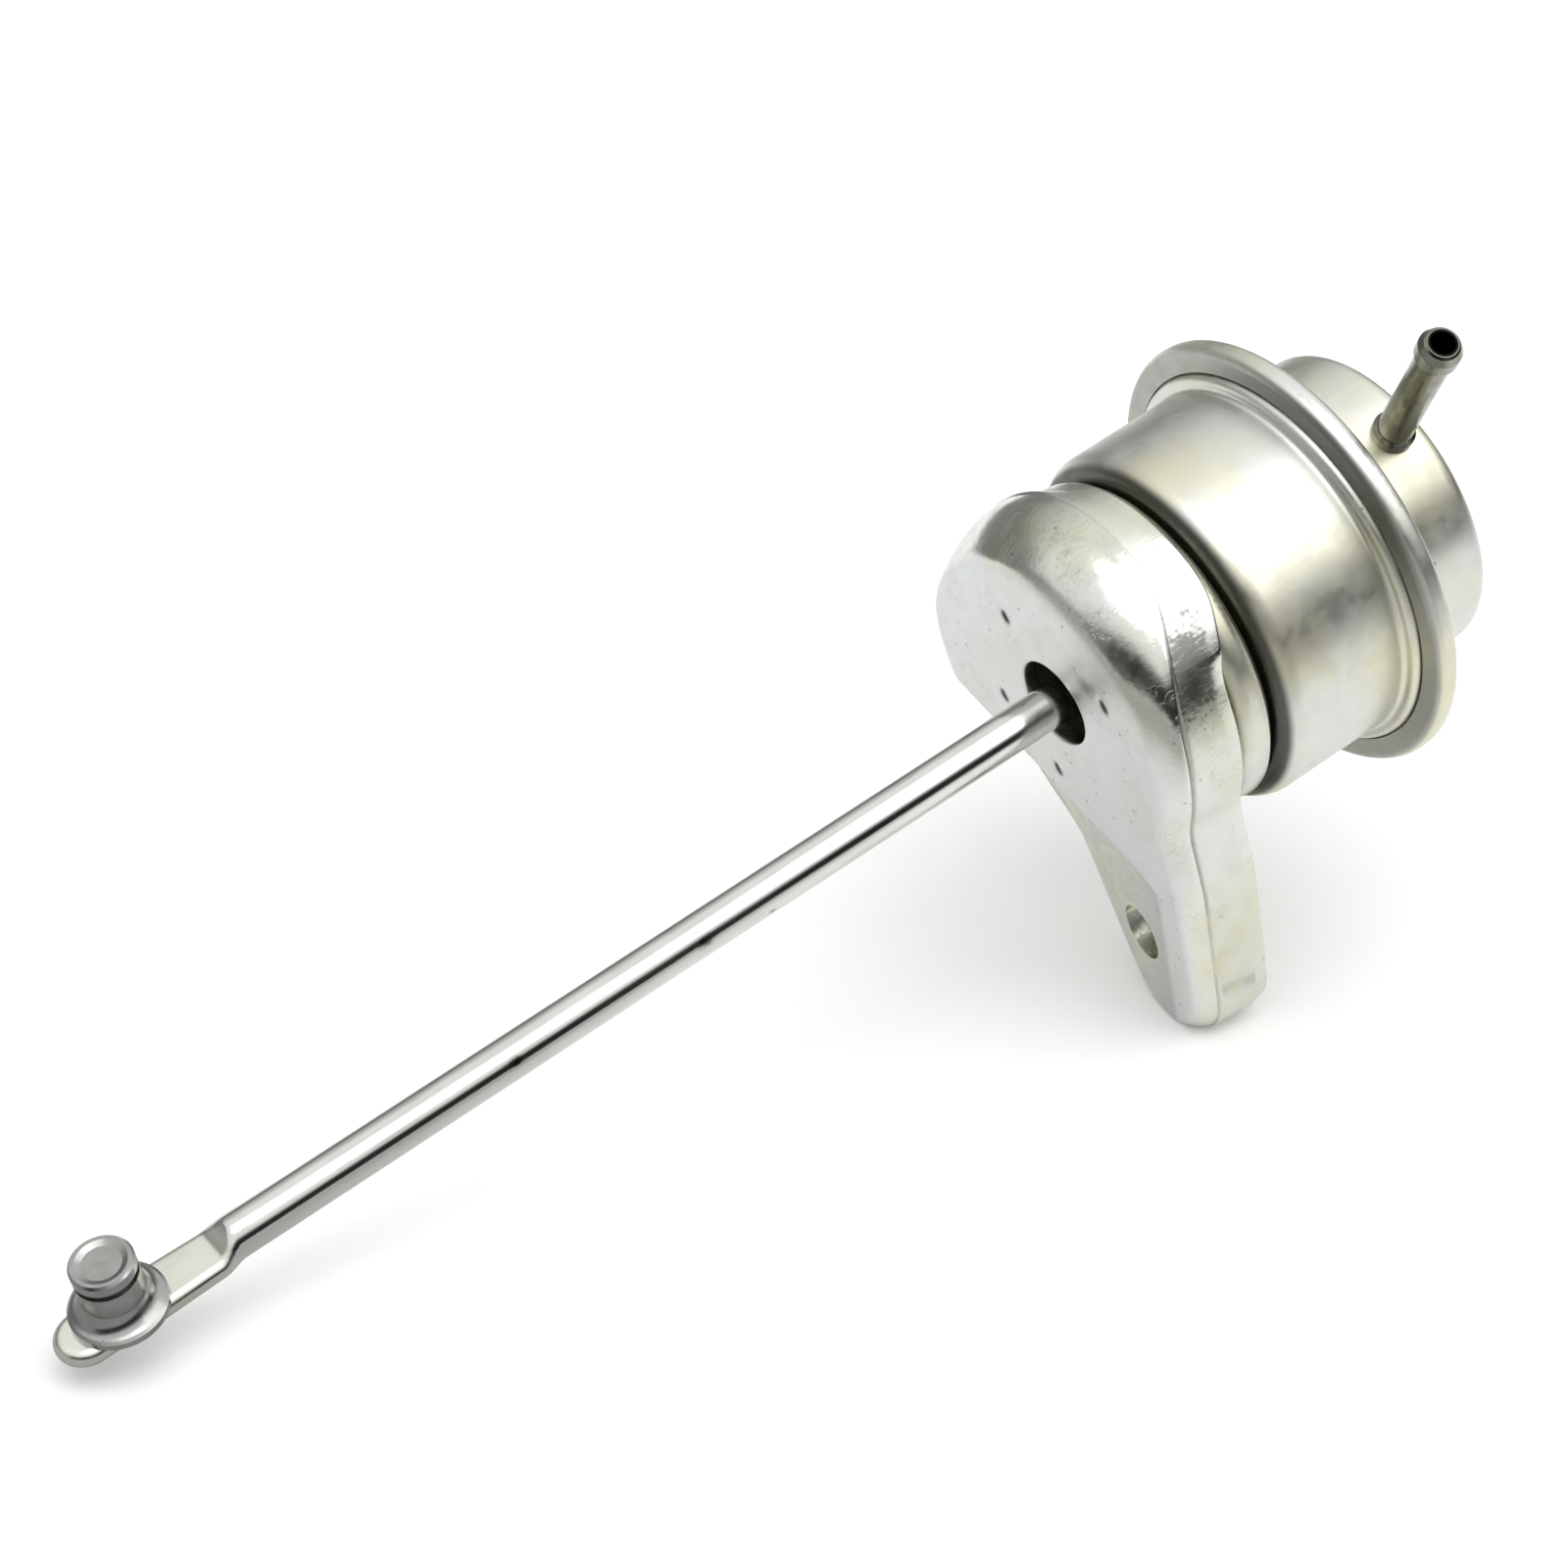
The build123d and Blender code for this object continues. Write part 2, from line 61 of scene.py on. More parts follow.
# %% [markdown]
# ## The rod line
# Almost everything on this part is round about one line: the push rod, the cups and the cans.
# Shapes here are worked out in millimetres from where that line meets the bracket's face, and
# moved into the frame at the end. A station is a distance along the line, behind the face.

# %% Units and the rod line
MM = 0.001
FACE_X, ROD_Y, ROD_Z = -2.3, 13.4, 36.7
FACE_CENTRE = np.array([FACE_X, ROD_Y, ROD_Z])


def in_frame(station, y, z):
    """A point given from the face's centre in millimetres, as a vector in the frame in metres."""
    return Vector((FACE_X + station, ROD_Y + y, ROD_Z + z)) * MM


print("face centre:", [round(v, 4) for v in in_frame(0, 0, 0)])

# %% [markdown]
# ## Camera
# The picture looks down on the part from the front and the near side. The lens is long, so the
# rod tapers only a little. The three directions of the camera were fitted to the rod, the rim
# and the outline of the bracket, and are written here as plain vectors.

# %% Camera
camera_right = Vector((0.7931, -0.5952, -0.1291)).normalized()
camera_back = Vector((-0.3368, -0.6052, 0.7213)).normalized()
camera_up = camera_back.cross(camera_right).normalized()
camera_place = in_frame(-212.5, -304.3, 379.0)
camera_data = bpy.data.cameras.new("picture_camera")
camera_data.lens = 90
camera_data.sensor_width = 36
camera_data.clip_start = 0.01
camera = bpy.data.objects.new("picture_camera", camera_data)
turned = Matrix((camera_right, camera_up, camera_back)).transposed()
camera.matrix_world = Matrix.Translation(camera_place) @ turned.to_4x4()
bpy.context.scene.collection.objects.link(camera)
bpy.context.scene.camera = camera
bpy.context.scene.view_settings.view_transform = "Standard"
print("camera at", [round(v, 4) for v in camera.location])

# %% [markdown]
# ## Table
# The part lies on a table, on the tip of the bracket's ear and on the blade of the rod. The
# frame follows the rod, so it is the table that is tilted here. Its plane passes just under
# those two places, and it could be a plane turned to match, but a round disc worked out from the
# two directions needs no turning. First come two helpers that fill a node tree.

# %% Directions of the table, and node trees
table_up = Vector((0.279, 0.10, 0.955)).normalized()
table_near = Vector((0.0, -1.0, 0.0))
table_near = (table_near - table_near.dot(table_up) * table_up).normalized()


def look_tree(owner):
    """Empties a node tree and gives it back with a helper that adds nodes and links their inputs."""
    owner.use_nodes = True
    tree = owner.node_tree
    tree.nodes.clear()
    return tree, adder(tree)


def adder(tree):
    """A helper for one tree: it makes a node, sets its settings and fills or links its inputs."""

    def add(kind, inputs=None, **settings):
        node = tree.nodes.new("ShaderNode" + kind)
        for key, value in settings.items():
            setattr(node, key, value)
        for key, value in (inputs or {}).items():
            if isinstance(value, bpy.types.NodeSocket):
                tree.links.new(value, node.inputs[key])
            else:
                node.inputs[key].default_value = value
        return node

    return add


# %% Table top
TABLE_RADIUS = 0.9
TABLE_CORNERS = 96
table_middle = Vector((0.006, -0.005, -0.0153))
side = table_up.orthogonal().normalized()
ahead = table_up.cross(side)
angles = np.linspace(0, 2 * np.pi, TABLE_CORNERS, endpoint=False)
ring = np.outer(np.cos(angles), side) + np.outer(np.sin(angles), ahead)
table_edge = np.array(table_middle) + TABLE_RADIUS * ring
table_mesh = bpy.data.meshes.new("table_top")
table_mesh.from_pydata(table_edge.tolist(), [], [list(range(TABLE_CORNERS))])
table = bpy.data.objects.new("table_top", table_mesh)
bpy.context.scene.collection.objects.link(table)
print("table plane passes", round(table_middle.dot(table_up) * 1000, 1), "mm from the origin")

# %% [markdown]
# The paper is pale and keeps the part's shadow. So that the background is white, it also glows
# for the camera, in mirrors and through glass, but lights no matt surface. The glow is weak near
# the part, where the real paper shows its shade, and grows away from it. The real paper ends a
# little way in front of the part, and the polished steel shows the dark behind its end, so in
# reflections this paper darkens there. From below it is clear, and the underside can be seen.
# The distances in this cell are in metres.

# %% Table paper
GLOW_START, GLOW_END, GLOW_LEAST, GLOW_MOST = 0.2, 0.6, 0.12, 0.45
DARK_WAY, DARK_START, DARK_END, DARK_SHARE, DARK_LEVEL = (-0.8, -0.6, 0), 0.035, 0.11, 0.6, 0.05
table_look = bpy.data.materials.new("table_paper")
tree, add = look_tree(table_look)
paper = add("BsdfDiffuse", {"Color": (0.86, 0.86, 0.855, 1)})
path = add("LightPath")
in_camera, in_mirror, in_glass = (
    path.outputs[ray] for ray in ("Is Camera Ray", "Is Glossy Ray", "Is Transmission Ray")
)
seen_white = add("Math", {0: in_camera, 1: in_mirror}, operation="MAXIMUM")
seen_white = add("Math", {0: seen_white.outputs[0], 1: in_glass}, operation="MAXIMUM")
glow = add("Emission", {"Color": (1, 1, 1, 1), "Strength": seen_white.outputs[0]})
paper_place = add("TexCoord").outputs["Object"]
from_part = add("VectorMath", {0: paper_place}, operation="LENGTH").outputs["Value"]
glow_range = {"From Min": GLOW_START, "From Max": GLOW_END, "To Min": GLOW_LEAST, "To Max": GLOW_MOST}
glow_share = add("MapRange", {"Value": from_part, **glow_range})
no_glow = add("Emission", {"Strength": 0.0})
some_glow = add("MixShader", {0: glow_share.outputs[0], 1: no_glow.outputs[0], 2: glow.outputs[0]})
lit = add("AddShader", {0: paper.outputs[0], 1: some_glow.outputs[0]})
frontwards = add("VectorMath", {0: paper_place, 1: DARK_WAY}, operation="DOT_PRODUCT").outputs["Value"]
dark_range = {"From Min": DARK_START, "From Max": DARK_END, "To Max": DARK_SHARE}
ending = add("MapRange", {"Value": frontwards, **dark_range})
ending = add("Math", {0: ending.outputs[0], 1: in_mirror}, operation="MULTIPLY")
dark_end = add("Emission", {"Strength": DARK_LEVEL})
lit = add("MixShader", {0: ending.outputs[0], 1: lit.outputs[0], 2: dark_end.outputs[0]})
clear = add("BsdfTransparent")
under = add("NewGeometry")
shown = add("MixShader", {0: under.outputs["Backfacing"], 1: lit.outputs[0], 2: clear.outputs[0]})
add("OutputMaterial", {"Surface": shown.outputs[0]})
table_mesh.materials.append(table_look)
print("paper glows from", GLOW_LEAST, "near the part to", GLOW_MOST, "at its edge")

# %% [markdown]
# ## Studio light
# Bright metal has no colour of its own to speak of: it shows the room. The room in the picture
# is a wide soft box overhead, a dark side behind the camera, a grey far wall and a lighter wall
# in front of the rod. The box fades towards the far wall and towards the near side. Walls and a
# box could be built as glowing meshes, but all of it can be said with three directions: up from
# the table, towards the near side and along the rod. So it is a sky of soft steps, and each edge
# below says where a step starts and ends, as how far a ray points that way, from -1 to 1.

# %% Sky levels and edges
SOFT_BOX, FAR_WALL, FRONT_WALL, DARK_SIDE, OVER_ALL = 1.5, 0.36, 0.68, 0.03, 0.72
BOX_EDGE = (0.32, 0.54)
BOX_FAR_EDGE, BOX_FAR_SHARE = (-0.86, -0.50), 0.40
BOX_NEAR_EDGE, BOX_NEAR_SHARE = (0.98, 0.76), 0.35
WALL_EDGE, FRONT_EDGE, FRONT_NEAR_EDGE = (-0.25, 0.35), (0.55, 0.85), (0.10, -0.20)
world = bpy.data.worlds.new("studio")
bpy.context.scene.world = world
tree, add = look_tree(world)
way = add("TexCoord").outputs["Generated"]


def along(direction):
    """How far a ray of the sky points along a direction, from -1 to 1."""
    return add("VectorMath", {0: way, 1: direction}, operation="DOT_PRODUCT").outputs["Value"]


def soft_step(value, start, end, low=0.0, high=1.0):
    """Eases from low to high while the value goes from start to end."""
    numbers = {"Value": value, "From Min": start, "From Max": end, "To Min": low, "To Max": high}
    return add("MapRange", numbers, interpolation_type="SMOOTHSTEP").outputs["Result"]


# %% Sky
high_up = soft_step(along(table_up), *BOX_EDGE)
not_far = soft_step(along(table_near), *BOX_FAR_EDGE, BOX_FAR_SHARE)
not_nearest = soft_step(along(table_near), *BOX_NEAR_EDGE, BOX_NEAR_SHARE)
box = add("Math", {0: high_up, 1: not_far}, operation="MULTIPLY").outputs[0]
box = add("Math", {0: box, 1: not_nearest}, operation="MULTIPLY").outputs[0]
wall = soft_step(along(table_near), *WALL_EDGE, FAR_WALL, DARK_SIDE)
in_front = soft_step(along((-1, 0, 0)), *FRONT_EDGE)
not_near = soft_step(along(table_near), *FRONT_NEAR_EDGE)
in_front = add("Math", {0: in_front, 1: not_near}, operation="MULTIPLY").outputs[0]
wall = add("Mix", {"Factor": in_front, "A": wall, "B": FRONT_WALL}, data_type="FLOAT").outputs["Result"]
room = add("Mix", {"Factor": box, "A": wall, "B": SOFT_BOX}, data_type="FLOAT").outputs["Result"]
studio = add("Background", {"Color": room, "Strength": OVER_ALL})
white = add("Background", {"Color": (1, 1, 1, 1), "Strength": 1.0})
path = add("LightPath")
sky = add("MixShader", {0: path.outputs["Is Camera Ray"], 1: studio.outputs[0], 2: white.outputs[0]})
add("OutputWorld", {"Surface": sky.outputs[0]})
print("soft box level", round(SOFT_BOX * OVER_ALL, 3), "dark side", round(DARK_SIDE * OVER_ALL, 3))

# %% [markdown]
# Two square lamps stand in that room. The key box is behind the can and above it, on the near
# side, and gives the soft shadow on the paper. The overhead box hangs over the part, a little to
# the front, and lights the bracket's roll. Both could be bright patches in the sky, but lamps are
# easier to aim and render with less noise.


# %% Lamps
def lamp(name, place, aim, size, watts):
    """A square soft lamp at a place, turned to face its aim."""
    data = bpy.data.lights.new(name, "AREA")
    data.size = size
    data.energy = watts
    thing = bpy.data.objects.new(name, data)
    thing.location = place
    thing.rotation_euler = (aim - place).to_track_quat("-Z", "Y").to_euler()
    bpy.context.scene.collection.objects.link(thing)


part_middle = Vector((-0.02, 0.013, 0.03))
KEY_OFFSET, KEY_SIZE, KEY_WATTS = Vector((0.42, -0.30, 0.80)), 0.80, 3.0
TOP_OFFSET, TOP_SIZE, TOP_WATTS = Vector((-0.10, -0.10, 0.88)), 0.55, 1.6
lamp("key_box", part_middle + KEY_OFFSET, part_middle, KEY_SIZE, KEY_WATTS)
lamp("top_box", part_middle + TOP_OFFSET, part_middle, TOP_SIZE, TOP_WATTS)
print("lamps", round(KEY_OFFSET.length, 2), "m and", round(TOP_OFFSET.length, 2), "m from the part")

# %% [markdown]
# ## Surfaces from grids
# Each new piece is a grid of points: rows run along a profile and columns run round. The mesh
# closes the grid round its columns, and over its rows too where the profile is a closed loop,
# or else with a fan at each end. The sign of the enclosed volume says whether the faces point
# outwards, and turns them round if they don't.


# %% Grid to mesh
def grid_faces(rows, columns, loop):
    """Corner numbers of the four-sided faces of a grid that is closed round its columns."""
    index = np.arange(rows * columns).reshape(rows, columns)
    right = np.roll(index, -1, 1)
    faces = np.stack([index, right, np.roll(right, -1, 0), np.roll(index, -1, 0)], -1)
    return (faces if loop else faces[:-1]).reshape(-1, 4)


def encloses(points, faces):
    """Six times the volume inside the faces, from a cone over each: positive when they point outwards."""
    a, b, c, d = (points[faces[:, k]] for k in range(4))
    return float((np.cross(b - a, c - a) * a).sum() + (np.cross(c - a, d - a) * a).sum())


def skin(name, points, loop, marks=None):
    """A grid of points in millimetres from the face's centre, as a smooth closed mesh object."""
    rows, columns = points.shape[:2]
    flat = points.reshape(-1, 3)
    faces = grid_faces(rows, columns, loop)
    fans = np.empty((0, 3), int)
    if not loop:
        flat = np.vstack([flat, points[0].mean(0), points[-1].mean(0)])
        first = np.arange(columns)
        last = first + (rows - 1) * columns
        near, far = rows * columns, rows * columns + 1
        fans = np.vstack([
            np.stack([np.full(columns, near), np.roll(first, -1), first], 1),
            np.stack([np.full(columns, far), last, np.roll(last, -1)], 1),
        ])
    if encloses(flat - flat.mean(0), faces) < 0:
        faces, fans = faces[:, ::-1], fans[:, ::-1]
    mesh = bpy.data.meshes.new(name)
    mesh.from_pydata(((flat + FACE_CENTRE) * MM).tolist(), [], faces.tolist() + fans.tolist())
    mesh.polygons.foreach_set("use_smooth", np.ones(len(mesh.polygons), bool))
    for label, values in (marks or {}).items():
        mark = mesh.attributes.new(label, "FLOAT", "POINT")
        value = np.pad(values.ravel(), (0, len(flat) - values.size))
        mark.data.foreach_set("value", value.astype(np.float32))
    thing = bpy.data.objects.new(name, mesh)
    bpy.context.scene.collection.objects.link(thing)
    print(name + ":", len(mesh.polygons), "faces")
    return thing


def stands_for(piece, node, body):
    """The piece takes the place of a CAD node, and moves with a body."""
    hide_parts(node)
    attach(piece, body)


# %% [markdown]
# ## Bracket
# The real bracket is one deep stamping: a flat face that rolls over into a wall, widest and
# deepest at the top, a band that stands a little proud along the wall behind a seam, and an ear
# whose lower face is pressed back round the bolt hole. It could be a subdivided box, but the
# roll changes all the way round, and that is easy to say as a formula. So it is a profile
# carried round the outline: one parameter turns about the rod line, and the other runs from the
# rod hole over the face, roll, wall and rear edge, and back inside the sheet. Each ray from the
# rod line meets the outline once, so its reach is found by halving. Over the top the wall reaches
# further back than elsewhere, as a thin skirt, and there the seam in front of the band fades.

# %% Bracket outline
SHEET = 2.5
DEPTH = 12.3
BAND_STEP = 0.45
SKIRT_LENGTH, SKIRT_REACH, SKIRT_SHEET = 4.25, 25.3, 0.45
disc_centre = np.array([1.8, -1.4])
DISC_RADIUS = 26.4
tip_centre = np.array([-18.4, -43.2])
TIP_RADIUS = 8.4
TIP_SIDE = math.radians(35)
WAIST_RADIUS = 12.0
near_root, near_middle, far_root = (-22.6, -6.0), (-25.6, -21.0), (4.0, -26.0)
ear_corners = np.array([
    disc_centre,
    near_root,
    near_middle,
    (tip_centre[0] - TIP_RADIUS, tip_centre[1]),
    tip_centre,
    tip_centre + TIP_RADIUS * np.array([math.cos(TIP_SIDE), -math.sin(TIP_SIDE)]),
    far_root,
])
near_waist = (np.array([-35.63, -9.97]), np.array([disc_centre, (-23.86, -12.32), (-23.93, -7.29)]))
far_waist = (np.array([9.50, -39.02]), np.array([disc_centre, (-0.30, -32.11), (7.10, -27.26)]))
print("ear's tip", round(float(np.hypot(*tip_centre)) + TIP_RADIUS, 1), "mm from the rod line")


def smooth(t):
    """Eases from 0 to 1 as t goes from 0 to 1."""
    t = np.clip(t, 0, 1)
    return t * t * (3 - 2 * t)


def inside_polygon(corners, y, z):
    """True where a point has an odd number of the polygon's edges on its +Y side."""
    inside = np.zeros(y.shape, bool)
    for (y0, z0), (y1, z1) in zip(corners, np.roll(corners, -1, 0)):
        if z0 != z1:
            inside ^= ((z0 > z) != (z1 > z)) & (y < (y1 - y0) * (z - z0) / (z1 - z0) + y0)
    return inside


def inside_bracket(y, z):
    """The disc, the ear and its round tip, and the two waists outside their circles."""
    inside = np.hypot(y - disc_centre[0], z - disc_centre[1]) < DISC_RADIUS
    inside |= np.hypot(y - tip_centre[0], z - tip_centre[1]) < TIP_RADIUS
    inside |= inside_polygon(ear_corners, y, z)
    for centre, wedge in (near_waist, far_waist):
        inside |= inside_polygon(wedge, y, z) & (np.hypot(y - centre[0], z - centre[1]) > WAIST_RADIUS)
    return inside


# %% Reach of each ray
TURNS = 600
turn = np.linspace(0, 2 * np.pi, TURNS, endpoint=False)


def eased(values, spread):
    """Running mean round a closed ring, weighted by a bell curve of the given spread in samples."""
    offsets = np.arange(-3 * spread, 3 * spread + 1)
    weights = np.exp(-0.5 * (offsets / spread) ** 2)
    weights /= weights.sum()
    return sum(w * np.roll(values, o) for w, o in zip(weights, offsets))


INSIDE_ALWAYS, OUTSIDE_ALWAYS, HALVINGS = 15.0, 60.0, 40
near, far = np.full(TURNS, INSIDE_ALWAYS), np.full(TURNS, OUTSIDE_ALWAYS)
for _ in range(HALVINGS):
    middle = (near + far) / 2
    inside = inside_bracket(-middle * np.sin(turn), middle * np.cos(turn))
    near, far = np.where(inside, middle, near), np.where(inside, far, middle)
reach = eased(near, 2)
print("bracket reach from", round(float(reach.min()), 2), "to", round(float(reach.max()), 2), "mm")


# %% Roll and seam round the outline
def around(pairs, spread=7):
    """A value for every turn, eased between (degrees, value) pairs. 0 is up, 90 is the near side."""
    places = np.array([p for p, _ in pairs] + [pairs[0][0] + 360.0])
    values = np.array([v for _, v in pairs] + [pairs[0][1]])
    spot = (np.degrees(turn) - places[0]) % 360 + places[0]
    return eased(np.interp(spot, places, values), spread)


ROLL_DEPTHS = [(0, 10.0), (25, 9.6), (38, 7.8), (49, 5.9), (59, 4.4), (70, 3.4), (90, 3.1)]
ROLL_DEPTHS += [(210, 3.1), (250, 4.5), (300, 9.0), (330, 10.0)]
ROLL_WIDTHS = [(0, 8.6), (25, 8.6), (45, 8.2), (59, 7.8), (70, 7.2), (85, 6.2), (110, 5.2)]
ROLL_WIDTHS += [(150, 4.4), (210, 4.4), (240, 4.0), (270, 3.2), (300, 6.5), (330, 8.4)]
SEAM_DEPTHS = [(0, 11.4), (20, 11.0), (29, 10.0), (38, 8.4), (49, 6.5), (59, 5.0), (70, 3.9), (90, 3.5)]
SEAM_DEPTHS += [(210, 3.5), (250, 5.0), (300, 10.0), (330, 11.4)]
SKIRT = [(0, 1.0), (20, 1.0), (30, 0.97), (36, 0.92), (41, 0.76), (50, 0.38), (58, 0.12), (66, 0.0)]
SKIRT += [(220, 0.0), (280, 0.0), (300, 0.35), (320, 0.8), (340, 1.0)]
SEAM_SHOWS = [(0, 0.15), (30, 0.2), (48, 0.55), (58, 1.0), (210, 1.0), (300, 0.2)]
roll_depth = around(ROLL_DEPTHS)
roll_width = around(ROLL_WIDTHS)
seam = around(SEAM_DEPTHS)
skirt = around(SKIRT)
seam_shows = around(SEAM_SHOWS)
SEAM_BEHIND_ROLL, LEAST_STEP = 0.25, 0.3
seam = np.maximum(seam, roll_depth + SEAM_BEHIND_ROLL)
band_step = BAND_STEP * (LEAST_STEP + (1 - LEAST_STEP) * seam_shows)
flat_reach = reach - roll_width
rear = DEPTH + SKIRT_LENGTH * skirt
print("roll depth from", round(float(roll_depth.min()), 1), "to", round(float(roll_depth.max()), 1), "mm")
print("rear edge from", round(float(rear.min()), 1), "to", round(float(rear.max()), 1), "mm")

# %% [markdown]
# The pressed facet is a plane hinged beside the near edge of the ear. It starts below a slanted
# crease, and where it lies behind the face the deeper of the two wins, with a small rounding.
# Four welding marks are short slanted dents with a raised side.

# %% Pressed facet and welding marks
hinge = np.array([-20.0, -22.5])
HINGE_LEAN, CREASE, TILT = math.radians(4.0), math.radians(14.0), math.radians(9.0)
CREASE_BLUR, ABOVE_CREASE = 0.35, 3.0


def facet_depth(y, z):
    """How far the facet lies behind the face: its slope below the crease, and in front above it."""
    across = y - hinge[0]
    down = hinge[1] - z
    slope = (across + down * math.tan(HINGE_LEAN)) * math.tan(TILT)
    below = (down + across * math.sin(CREASE)) / CREASE_BLUR
    share = 1 / (1 + np.exp(-np.clip(below, -30, 30)))
    return slope * share - ABOVE_CREASE * (1 - share)


def deeper(a, b, width):
    """The larger of two depths, rounded over the width where they cross."""
    share = np.clip(0.5 + 0.5 * (a - b) / width, 0, 1)
    return a * share + b * (1 - share) + width * share * (1 - share)


MARK_REACH, MARK_LENGTH, MARK_WIDTH, MARK_DEPTH = 13.5, 1.1, 0.72, 0.5
LONG_Y, LONG_Z = 0.54, 0.84
RAISED_SHARE, RAISED_OFFSET, RAISED_WIDTH = 0.4, 1.2, 0.5
mark_turns = [math.radians(d) for d in (-42.0, 55.7, 183.0, 239.0)]


def weld_dents(y, z):
    """Depth of the marks: a long bell-shaped dent for each, and a lower bell beside it that stands up."""
    dents = np.zeros(y.shape)
    for t in mark_turns:
        dy, dz = y + MARK_REACH * math.sin(t), z - MARK_REACH * math.cos(t)
        long_way, short_way = LONG_Y * dy + LONG_Z * dz, LONG_Z * dy - LONG_Y * dz
        raised_way = (short_way + RAISED_OFFSET) / RAISED_WIDTH
        along_mark = (long_way / MARK_LENGTH) ** 2
        dents += MARK_DEPTH * np.exp(-(along_mark + (short_way / MARK_WIDTH) ** 2))
        dents -= RAISED_SHARE * MARK_DEPTH * np.exp(-(along_mark + raised_way**2))
    return dents


print("facet", round(float(facet_depth(-ROD_Y, -ROD_Z)), 2), "mm deep at the bolt hole")

# %% [markdown]
# The roll is not a plain arc: it bends quickly at first and then slowly, to almost straight back.
# So its slope is given along it, from flat to nearly upright, and adding up the slope's cosines
# and sines gives the curve, which is then stretched to the roll's width and depth at each turn.

# %% Curve of the roll
FIRST_BEND, FIRST_SHARE, WHOLE_BEND = 58.0, 0.34, 88.0
run = np.linspace(0, 1, 40)
tilt = np.radians(FIRST_BEND * smooth(run / FIRST_SHARE) + (WHOLE_BEND - FIRST_BEND) * run**2)
roll_across = np.concatenate([[0], np.cumsum(np.cos((tilt[1:] + tilt[:-1]) / 2))])
roll_down = np.concatenate([[0], np.cumsum(np.sin((tilt[1:] + tilt[:-1]) / 2))])
roll_across /= roll_across[-1]
roll_down /= roll_down[-1]
profile = []


def lay(radius, depth, outer=1.0, band=0.0, seam_shade_mark=0.0):
    """Adds one ring of the profile: its radius and depth at every turn, and its marks."""
    values = (radius, depth, outer, band, seam_shade_mark)
    profile.append([np.broadcast_to(np.asarray(v, float), turn.shape) for v in values])


half_way = float(np.interp(0.5, roll_across, roll_down))
print("at half its width the roll is", round(half_way, 2), "of its depth down")

# %% Rings of the hole, the face and the roll
HOLE = 12.9 / 2
EDGE_ROUND = 0.4
for a in np.linspace(0, np.pi / 2, 5):
    lay(HOLE + EDGE_ROUND * (1 - np.cos(a)), EDGE_ROUND * (1 - np.sin(a)))
for s in np.linspace(0, 1, 58)[1:]:
    lay(HOLE + EDGE_ROUND + (flat_reach - HOLE - EDGE_ROUND) * s, 0.0)
for across, down in zip(roll_across[1:], roll_down[1:]):
    lay(flat_reach + roll_width * across, roll_depth * down)
print("rings as far as the roll:", len(profile))

# %% [markdown]
# Behind the roll a shallow groove marks the seam, and the wall steps out to the band. At the
# ear's tip the band's sheet is gathered: a sharp crease runs across it, and next to it the wall
# bulges. Both are bell curves of the turn. The seam and the crease are also marked on the
# mesh, where painted shade darkens them. Near its rear edge the band draws in again by a lip,
# which the skirt over the top doesn't have.

# %% Rings of the seam, the band and the rear edge
SEAM_HALF, WALL_LEAST = 0.35, 0.02
GROOVE_DEPTH, GROOVE_PLACE, GROOVE_WIDTH = 0.22, 0.3, 0.22
SEAM_SHADE_PLACE, SEAM_SHADE_WIDTH = 0.35, 0.3
for s in np.linspace(0, 1, 6)[1:]:
    lay(reach, roll_depth + (seam - SEAM_HALF - roll_depth).clip(WALL_LEAST) * s)
for s in np.linspace(0, 1, 9)[1:]:
    rise = smooth(s)
    groove = GROOVE_DEPTH * seam_shows * np.exp(-((s - GROOVE_PLACE) / GROOVE_WIDTH) ** 2)
    # Painted shade: this bell curve behind the groove marks where the seam is painted dark.
    seam_shade_ring = seam_shows * np.exp(-((s - SEAM_SHADE_PLACE) / SEAM_SHADE_WIDTH) ** 2)
    lay(reach - groove + band_step * rise, seam - SEAM_HALF + 2 * SEAM_HALF * s, 1.0, rise, seam_shade_ring)

LIP_START, LIP_DROP, LIP_BEHIND_SEAM = 9.9, 0.45, 0.6
CREASE_TURN, CREASE_LEAN, CREASE_WIDTH, CREASE_DEPTH = math.radians(146.2), 0.02, 0.011, 0.3
BULGE_TURN, BULGE_WIDTH, BULGE_HEIGHT = math.radians(153), 0.075, 0.55
lip_start = np.maximum(rear - DEPTH + LIP_START, seam + LIP_BEHIND_SEAM)
flare = (SKIRT_REACH - reach - band_step) * smooth(3 * skirt)
drop = LIP_DROP * (1 - smooth(3 * skirt))
for s in np.linspace(0, 1, 15)[1:]:
    # The crease's bell curve is also where painted shade darkens it.
    fold = np.exp(-(((turn - CREASE_TURN - CREASE_LEAN * s) / CREASE_WIDTH) ** 2))
    bulge = BULGE_HEIGHT * s * np.exp(-(((turn - BULGE_TURN) / BULGE_WIDTH) ** 4))
    band_reach = reach + band_step + flare * s + bulge - CREASE_DEPTH * fold
    lay(band_reach, seam + SEAM_HALF + (lip_start - seam - SEAM_HALF) * s, 1.0, 1.0, fold)
for s in np.linspace(0, 1, 8)[1:]:
    lay(band_reach - drop * s, lip_start + (rear - EDGE_ROUND - lip_start) * s, 1.0, 1.0 - s)
edge_reach = band_reach - drop
for a in np.linspace(0, np.pi / 2, 5)[1:]:
    lay(edge_reach - EDGE_ROUND * (1 - np.cos(a)), rear - EDGE_ROUND * (1 - np.sin(a)))
print("rings as far as the rear edge:", len(profile))

